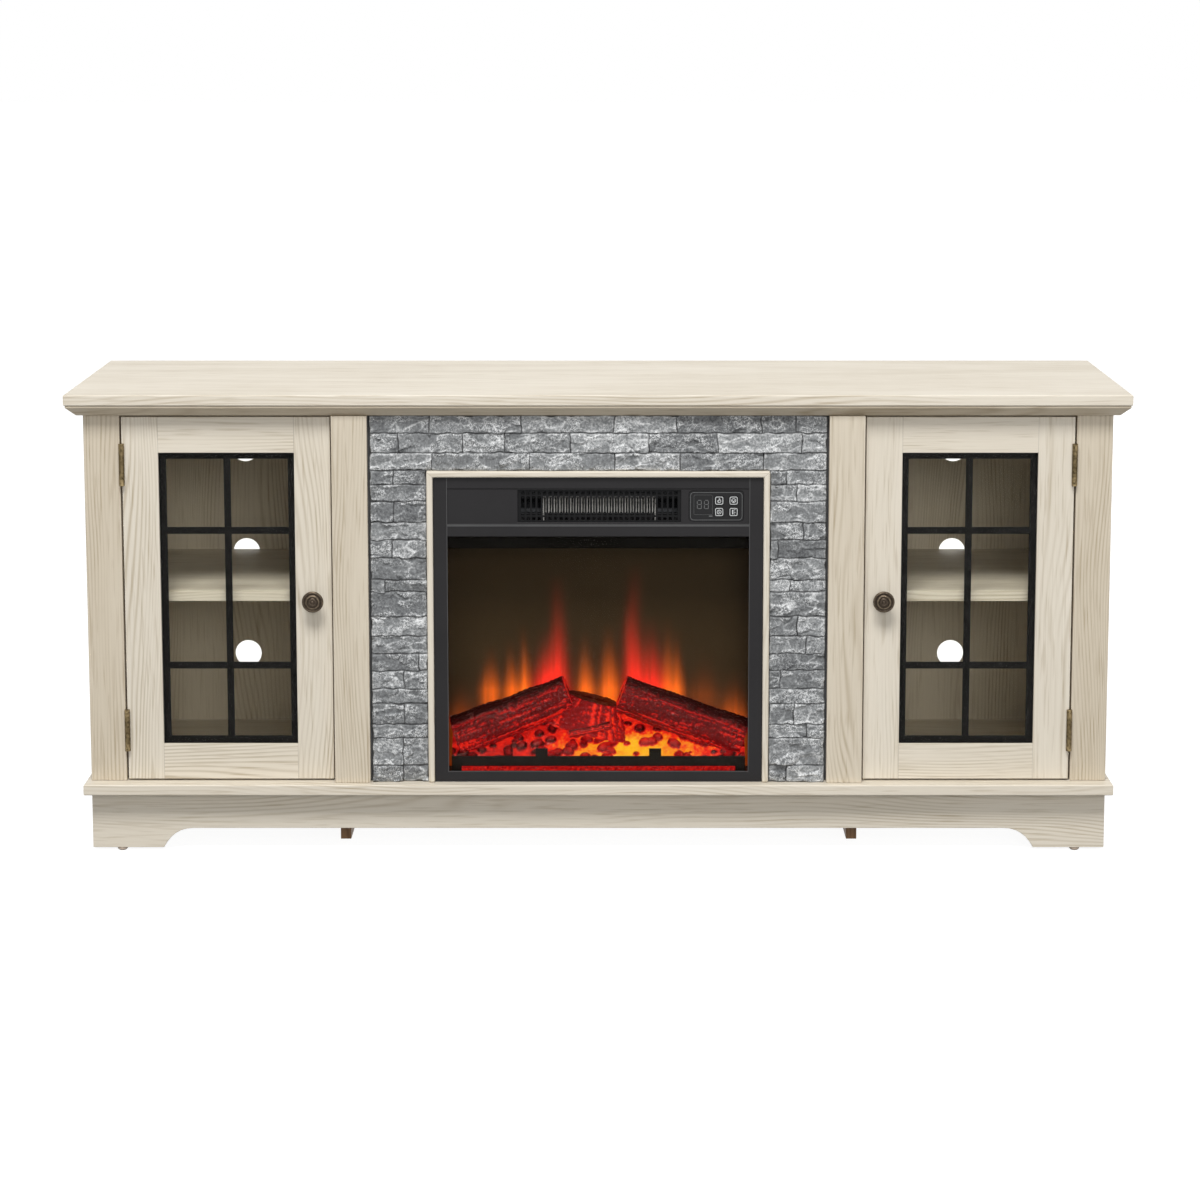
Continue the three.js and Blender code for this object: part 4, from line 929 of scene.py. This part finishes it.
# A sheet over the slope, lumpy with coals, brought down to the seat and closed
def buildEmbers():
    seat, depth = bedSpan()
    bm = bmesh.new()
    slopeLength = depth + bed["frontRise"] * 1.6
    columns = round(2 * bed["halfWidth"] / bed["cell"])
    ops.create_grid(bm, x_segments=columns, y_segments=round(slopeLength / bed["cell"]), size=0.5)
    paintedGlow = bm.verts.layers.float.new("paintedGlow")
    ridgeGlintAndWear = bm.verts.layers.float.new("ridgeGlintAndWear")
    frontShare = bed["frontShare"]
    for vert in bm.verts:
        x = vert.co.x * 2 * bed["halfWidth"]
        v = vert.co.y + 0.5
        inward = max(0, (v - frontShare) / (1 - frontShare))
        z = slopeAt(inward) if inward else v / frontShare * bed["frontRise"]
        run = v * slopeLength
        warp = drift(x * 60, run * 60, 4) * 0.22
        wide, tall = bed["coalPitch"]
        distances, points = noise.voronoi(Vector((x / wide + warp.x, run / tall + warp.y, 0)))
        radius = 0.44 + 0.35 * hum(points[0].x * 3.1, points[0].y * 3.1, 2)
        edge = distances[0] / radius
        dome = math.sqrt(max(0, 1 - edge ** 2))
        coal = unit((1.1 - edge) / 0.2)
        coarse = noise.fractal(Vector((x * 260, run * 260, 8)), 0.8, 2, 3)
        lift = dome * bed["lift"] * (0.6 + radius) + coarse * bed["grain"]
        lift *= 0 if v < 0.02 else min(1, (0.5 - abs(vert.co.x)) * 12)
        back = bed["setBack"] * (1 - inward) - (0 if inward else lift)
        y = min(max(seat.y + inward * depth + back, seat.y), seat.y + depth)
        vert.co = (x, y, seat.z + z + lift)
        glow = glowAt(x, seat.z + z)
        around = max(0, 1 - abs(x - bed["hotAcross"]) / bed["warmReach"])
        # Painted glow of the bed, with painted dark outlines along the coals' edges; the upright front
        # glows red too
        field = 0.31 + 0.24 * around + 0.46 * glow + 0.16 * hum(x * 90, run * 90, 12)
        lump = 0.1 + 0.3 * around * dome + 0.1 * glow
        outline = math.exp(-((edge - 0.95) / 0.2) ** 2)
        level = field * (1 - coal) + lump * coal - 0.26 * outline * (1 - 0.5 * glow) + 0.12 * coarse
        vert[paintedGlow] = unit(level if v >= frontShare * 0.8 else 0.35 + 0.2 * coarse)
        # A faint painted glint on each coal's top
        vert[ridgeGlintAndWear] = dome * 0.08
    for vert in vertsIn(ops.extrude_edge_only(bm, edges=openEdges(bm))["geom"]):
        vert.co.z = seat.z
    ops.remove_doubles(bm, verts=bm.verts, dist=1e-6)
    ops.holes_fill(bm, edges=openEdges(bm))
    faceOut(bm)
    newPiece("ember_bed", bm, "ember", ["log_bed"], 70)


for i, (name, ends) in enumerate(logs["ends"].items()):
    buildLog(name, ends, 3.7 + 11.3 * i)
buildEmbers()
print("Fire bed built")


# Flame screen: soft tongues of light that rise from behind the logs

flames = dict(
    cell=0.0022, footRise=0.112, fadeOut=1.5, least=0.045, fade=3.2, glowTail=0.1, gain=1.3, sway=0.0035,
    haze=0.045, hazeReach=(0.23, 0.2), hazeColour=(1, 0.14, 0.03), red=(255, 32, 24), orange=(240, 100, 14),
    # across, half width, top above the seat, strength, colour
    tongues=[
        (-0.153, 0.01, 0.156, 0.62, "orange"), (-0.126, 0.007, 0.163, 0.75, "orange"),
        (-0.106, 0.007, 0.177, 0.85, "orange"), (-0.074, 0.014, 0.172, 1, "red"),
        (-0.058, 0.011, 0.224, 0.95, "red"), (-0.019, 0.009, 0.17, 0.8, "orange"),
        (0.015, 0.01, 0.177, 0.9, "orange"), (0.05, 0.011, 0.234, 1, "red"),
        (0.076, 0.014, 0.184, 0.95, "red"), (0.099, 0.007, 0.184, 0.7, "orange"),
        (0.112, 0.007, 0.173, 0.8, "orange"), (0.15, 0.016, 0.15, 0.12, "orange"),
        (0.192, 0.014, 0.12, 0.4, "orange"), (-0.195, 0.016, 0.11, 0.25, "orange"),
    ],
)


def flameAt(x, rise):
    colour = Vector((0, 0, 0))
    for across, half, top, strength, kind in flames["tongues"]:
        sway = flames["sway"] * hum(across * 40, rise * 12, 1)
        foot = min(flames["footRise"], top - flames["least"])
        up = (rise - foot) / (top - foot)
        if up > flames["fadeOut"]:
            continue
        narrow = half * (1.2 - 0.4 * unit(up))
        side = math.exp(-((x - across - sway) / narrow) ** 2)
        left = max(0, 1 - max(0, up) / flames["fadeOut"])
        # A faint painted glow lingers above each tongue
        tall = left ** flames["fade"] + flames["glowTail"] * left * (1 - left)
        streak = 1.25 + 0.5 * hum(x * 240, rise * 8, across * 50)
        colour += Vector(linear(*flames[kind])[:3]) * side * tall * strength * streak * flames["gain"]
    # A painted haze of red light low on the screen
    wide, tall = flames["hazeReach"]
    haze = flames["haze"] * max(0, 1 - rise / tall) ** 1.3 * max(0, 1 - abs(x) / wide)
    colour += Vector(flames["hazeColour"]) * haze
    return (min(1, colour.x), min(1, colour.y), min(1, colour.z), 1)


def buildFlames():
    low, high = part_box("flame_screen")
    size = high - low
    bm = bmesh.new()
    columns, rows = round(size.x / flames["cell"]), round(size.z / flames["cell"])
    ops.create_grid(bm, x_segments=columns, y_segments=rows, size=0.5)
    layer = bm.verts.layers.float_color.new("flameLight")
    for vert in bm.verts:
        x = (vert.co.x + 0.5) * size.x + low.x
        z = (vert.co.y + 0.5) * size.z + low.z
        vert.co = (x, low.y, z)
        vert[layer] = flameAt(x, z - low.z)
    for vert in vertsIn(ops.extrude_edge_only(bm, edges=openEdges(bm))["geom"]):
        vert.co.y = high.y
        vert[layer] = (0, 0, 0, 1)
    ops.edgeloop_fill(bm, edges=openEdges(bm))
    faceOut(bm)
    newFinish("flame_screen", bm, "flameFilm")


buildFlames()


# Dark strip behind the top of the glass, which darkens the top of the fire opening

darkStrip = dict(height=0.018, margin=0.004, gap=0.0002, back=0.0008, ease=0.0002)


def buildDarkStrip():
    low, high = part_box("insert_glass")
    margin = darkStrip["margin"]
    bm = bmesh.new()
    addBlock(bm, (low.x + margin, high.y + darkStrip["gap"], high.z - margin - darkStrip["height"]),
            (high.x - margin, high.y + darkStrip["back"], high.z))
    bevelSharp(bm, darkStrip["ease"], 1)
    newPiece("glass_dark_strip", bm, "stripBlack")


buildDarkStrip()
print("Flames built")


# Heater: one unbroken zigzag wire, and three thin guard wires before it

heater = dict(
    loops=21, pitch=0.0076, height=0.025, radius=0.001, bendSteps=10,
    guards=(0.26, 0.72, 0.84), guardRadius=0.0005, guardMargin=0.004, guardGap=0.0012,
)


# A round wire along the points
def wirePiece(name, points, radius, finish, replaced=()):
    curve = bpy.data.curves.new(name, "CURVE")
    curve.dimensions = "3D"
    curve.bevel_depth = radius
    curve.bevel_resolution = 2
    curve.use_fill_caps = True
    spline = curve.splines.new("POLY")
    spline.points.add(len(points) - 1)
    for point, place in zip(spline.points, points):
        point.co = (*place, 1)
    maker = newObject(name + "_maker", curve)
    bpy.context.view_layer.update()
    mesh = bpy.data.meshes.new_from_object(maker.evaluated_get(bpy.context.evaluated_depsgraph_get()))
    bm = bmesh.new()
    bm.from_mesh(mesh)
    bpy.data.objects.remove(maker)
    bpy.data.meshes.remove(mesh)
    newPiece(name, bm, finish, replaced, 60)


def buildHeater():
    low, _, centreLine = boxOf("heating_element")
    y = centreLine.y
    grilleLow, grilleHigh, middle = boxOf("heater_grille")
    bend = heater["pitch"] / 4
    reach = heater["height"] / 2 - bend - heater["radius"]
    start = middle.x - heater["loops"] * heater["pitch"] / 2 + bend
    points = [(start, y, low.z)]
    runs = 2 * heater["loops"]
    for run in range(runs - 1):
        way = 1 if run % 2 == 0 else -1
        centre = start + (2 * run + 1) * bend
        for step in range(heater["bendSteps"] + 1):
            angle = math.pi * (1 - step / heater["bendSteps"])
            z = middle.z + way * (reach + bend * math.sin(angle))
            points.append((centre + bend * math.cos(angle), y, z))
    points.append((start + 2 * (runs - 1) * bend, y, low.z))
    wirePiece("heating_wire", points, heater["radius"], "wire", ["heating_element"])
    guardY = grilleHigh.y + heater["guardGap"]
    left, right = grilleLow.x + heater["guardMargin"], grilleHigh.x - heater["guardMargin"]
    for i, share in enumerate(heater["guards"]):
        z = grilleLow.z + share * (grilleHigh.z - grilleLow.z)
        ends = [(left, guardY, z), (right, guardY, z)]
        wirePiece(f"guard_wire_{i + 1}", ends, heater["guardRadius"], "guardGrey")


buildHeater()


# Formed edges of the insert's frame that catch the light, drawn as light grey strips: a painted highlight

edgeLine = dict(width=0.0009, proud=0.0003, depth=0.0008, lap=0.004, split=0.0001, topGap=0.001,
        strip=(0.0142, 0.0172))


def buildFrameLines():
    low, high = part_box("insert_frame")
    glassLow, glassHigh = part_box("insert_glass")
    lap, split = edgeLine["lap"], edgeLine["split"]
    left, right = glassLow.x + lap, glassHigh.x - lap
    bottom, top = glassLow.z + lap, glassHigh.z - lap
    width, front, back = edgeLine["width"], low.y - edgeLine["proud"], low.y + edgeLine["depth"]
    bm = bmesh.new()
    for x in (left - width, right):
        addBlock(bm, (x, front, bottom - width), (x + width, back, top))
        addBlock(bm, (x, front, top + split), (x + width, back, high.z - edgeLine["topGap"]))
    for foot, head in ((bottom - width, bottom), (top + edgeLine["strip"][0], top + edgeLine["strip"][1])):
        addBlock(bm, (left + split, front, foot), (right - split, back, head))
    newPiece("frame_lines", bm, "edgeHighlightGrey")


buildFrameLines()
print("Heater and frame lines built")


# Control panel: printed outlines, display and symbols

control = dict(
    thick=0.00012, lift=0.00005, margin=0.003, corner=0.005, line=0.0007,
    window=(0.026, 0.028), windowPlace=(0.0195, 0.002), windowCorner=0.002, windowLine=0.0003,
    digitPitch=0.0098, digitHalf=0.0028, digitTall=0.0058, digitGap=0.0006, digitLine=0.001,
    # the dash under the digits: from, to and up from the panel's foot
    dash=(0.008, 0.013, 0.0065), dashLine=0.0016,
    keyShare=1.72, keyCorner=0.0022, keyLine=0.00085, symbolLine=0.00075, ringShare=0.5,
    ringed=("heat", "timer"),
)
# strokes in shares of half a key, each with whether it is closed
symbols = {
    "flame": [([(0, 0.62), (0.3, 0.15), (0.42, -0.2), (0.22, -0.5), (-0.2, -0.5), (-0.42, -0.2),
                (-0.3, 0.1), (-0.12, -0.02)], True)],
    "heat": [([(-0.24, 0.1), (0, -0.2), (0.24, 0.1)], False)],
    "timer": [([(0, 0.3), (0, 0), (0.22, 0)], False)],
    "temperature": [
        ([(-0.3, 0.5), (-0.05, 0.5), (-0.05, -0.5), (-0.3, -0.5)], True),
        ([(0.12, 0.5), (0.4, 0.5)], False), ([(0.12, 0.17), (0.3, 0.17)], False),
        ([(0.12, -0.17), (0.4, -0.17)], False), ([(0.12, -0.5), (0.3, -0.5)], False),
    ],
}


# A printed stroke: a thin ribbon along the points, mitred at its corners
def addStroke(bm, points, y, width, closed=False):
    verts = [bm.verts.new((x, y - control["thick"] / 2, z)) for x, z in points]
    edges = [bm.edges.new(pair) for pair in zip(verts, verts[1:] + verts[:1] if closed else verts[1:])]
    made = ops.extrude_edge_only(bm, edges=edges)["geom"]
    ops.translate(bm, vec=(0, control["thick"], 0), verts=vertsIn(made))
    faces = [item for item in made if isinstance(item, bmesh.types.BMFace)]
    ops.recalc_face_normals(bm, faces=faces)
    ops.solidify(bm, geom=faces, thickness=width)
    faceOut(bm)


def arc(x, z, radius, steps, start=0, sweep=360):
    angles = [math.radians(start + sweep * i / steps) for i in range(steps + (sweep < 360))]
    return [(x + radius * math.cos(angle), z + radius * math.sin(angle)) for angle in angles]


def roundedOutline(x, z, wide, tall, corner):
    across, up = wide / 2 - corner, tall / 2 - corner
    return [point for right, over, start in ((1, 1, 0), (-1, 1, 90), (-1, -1, 180), (1, -1, 270))
            for point in arc(x + right * across, z + over * up, corner, 5, start, 90)]


# The seven strokes of an unlit digit, each a little short of the corners
def digitStrokes(x, z):
    half, tall, gap = control["digitHalf"], control["digitTall"], control["digitGap"]
    for rise in (-tall, 0, tall):
        yield (x - half + gap, z + rise), (x + half - gap, z + rise)
    for side in (-half, half):
        for foot in (-tall, 0):
            yield (x + side, z + foot + gap), (x + side, z + foot + tall - gap)


def printKey(kind):
    node = "key_" + kind
    low, high, middle = boxOf(node)
    half = (high.x - low.x) / 2
    y = low.y - control["lift"]
    size = control["keyShare"] * half
    bm = bmesh.new()
    outline = roundedOutline(middle.x, middle.z, size, size, control["keyCorner"])
    addStroke(bm, outline, y, control["keyLine"], True)
    if kind in control["ringed"]:
        ring = arc(middle.x, middle.z, control["ringShare"] * half, 16)
        addStroke(bm, ring, y, control["symbolLine"], True)
    for points, closed in symbols[kind]:
        placed = [(middle.x + u * half, middle.z + v * half) for u, v in points]
        addStroke(bm, placed, y, control["symbolLine"], closed)
    newPiece(node + "_print", bm, "print", body=nodeBody[node])


def printPanel():
    low, high, middle = boxOf("control_panel")
    size = high - low
    face = low.y - control["lift"]
    margin = control["margin"]
    bm = bmesh.new()
    outline = roundedOutline(middle.x, middle.z, size.x - margin, size.z - margin, control["corner"])
    addStroke(bm, outline, face, control["line"], True)
    newPiece("panel_outline", bm, "printDim")

    # the display's window with its two digits
    x, z = low.x + control["windowPlace"][0], middle.z + control["windowPlace"][1]
    bm = bmesh.new()
    outline = roundedOutline(x, z, *control["window"], control["windowCorner"])
    addStroke(bm, outline, face, control["windowLine"], True)
    for side in (-0.5, 0.5):
        for ends in digitStrokes(x + side * control["digitPitch"], z):
            addStroke(bm, ends, face, control["digitLine"])
    start, end, rise = control["dash"]
    addStroke(bm, [(x + start, low.z + rise), (x + end, low.z + rise)], face, control["dashLine"])
    newPiece("display_print", bm, "printDim")


printPanel()
for kind in symbols:
    printKey(kind)
print("Controls printed")


# Floor, lamps, world and camera

studio = dict(ambient=0.3, floorGlow=0.93, floorColour=0.28, floorSize=60)
lamps = {
    "key": dict(place=(-0.5, -3.8, 5.9), aim=(0, 0, 0.4), size=(3, 2), power=410, mirrored=True),
    "fill": dict(place=(0.9, -5.4, 1.9), aim=(0, 0, 0.35), size=(2.4, 1.6), power=75, mirrored=True),
    # its mirror image on the top would blow the right half to white
    "rear": dict(place=(1.6, 4.4, 1.5), aim=(0, 0, 0.35), size=(2.4, 1.6), power=75, mirrored=False),
}
camera = dict(
    focal=3007.6, frameWidth=1200, sensor=36, pitch=8, shift=(-0.0092, -0.151),
    place=(0.0178, -4.3, 1.1966),
)


# 1 on what the camera sees, also in a mirror or through glass, and otherwise 0
def seen(tree):
    return pathShare(tree, "Is Camera Ray", "Is Glossy Ray", "Is Transmission Ray")


def buildStudio():
    scene = bpy.context.scene
    scene.view_settings.view_transform = "Standard"
    world = bpy.data.worlds.new("studio")
    scene.world = world
    world.use_nodes = True
    tree = world.node_tree
    feed(tree.nodes["Background"].inputs, {
        "Color": (1, 1, 1, 1), "Strength": spread(seen(tree), 0, 1, studio["ambient"], 1),
    })

    bm = bmesh.new()
    ops.create_grid(bm, x_segments=2, y_segments=2, size=studio["floorSize"] / 2)
    floor = newObject("floor", newMesh("floor", bm))
    shade = studio["floorColour"]
    material, tree, shader = newMaterial("floorPaint", {
        "Base Color": (shade, shade, shade, 1), "Roughness": 0.9, "Specular IOR Level": 0,
        "Emission Color": (1, 1, 1, 1),
    })
    glow = spread(seen(tree), 0, 1, 0, studio["floorGlow"])
    feed(shader.inputs, {"Emission Strength": glow})
    floor.data.materials.append(material)

    for name, lamp in lamps.items():
        data = bpy.data.lights.new(name, "AREA")
        data.shape = "RECTANGLE"
        data.size, data.size_y = lamp["size"]
        data.energy = lamp["power"]
        light = newObject(name, data)
        light.location = lamp["place"]
        light.visible_glossy = lamp["mirrored"]
        towards = Vector(lamp["aim"]) - Vector(lamp["place"])
        light.rotation_euler = towards.to_track_quat("-Z", "Y").to_euler()

    data = bpy.data.cameras.new("camera")
    data.sensor_width = camera["sensor"]
    data.lens = camera["focal"] * camera["sensor"] / camera["frameWidth"]
    data.shift_x, data.shift_y = camera["shift"]
    viewer = newObject("camera", data)
    viewer.location = camera["place"]
    viewer.rotation_euler = (math.radians(90 - camera["pitch"]), 0, 0)
    scene.camera = viewer


buildStudio()
print("Studio set")
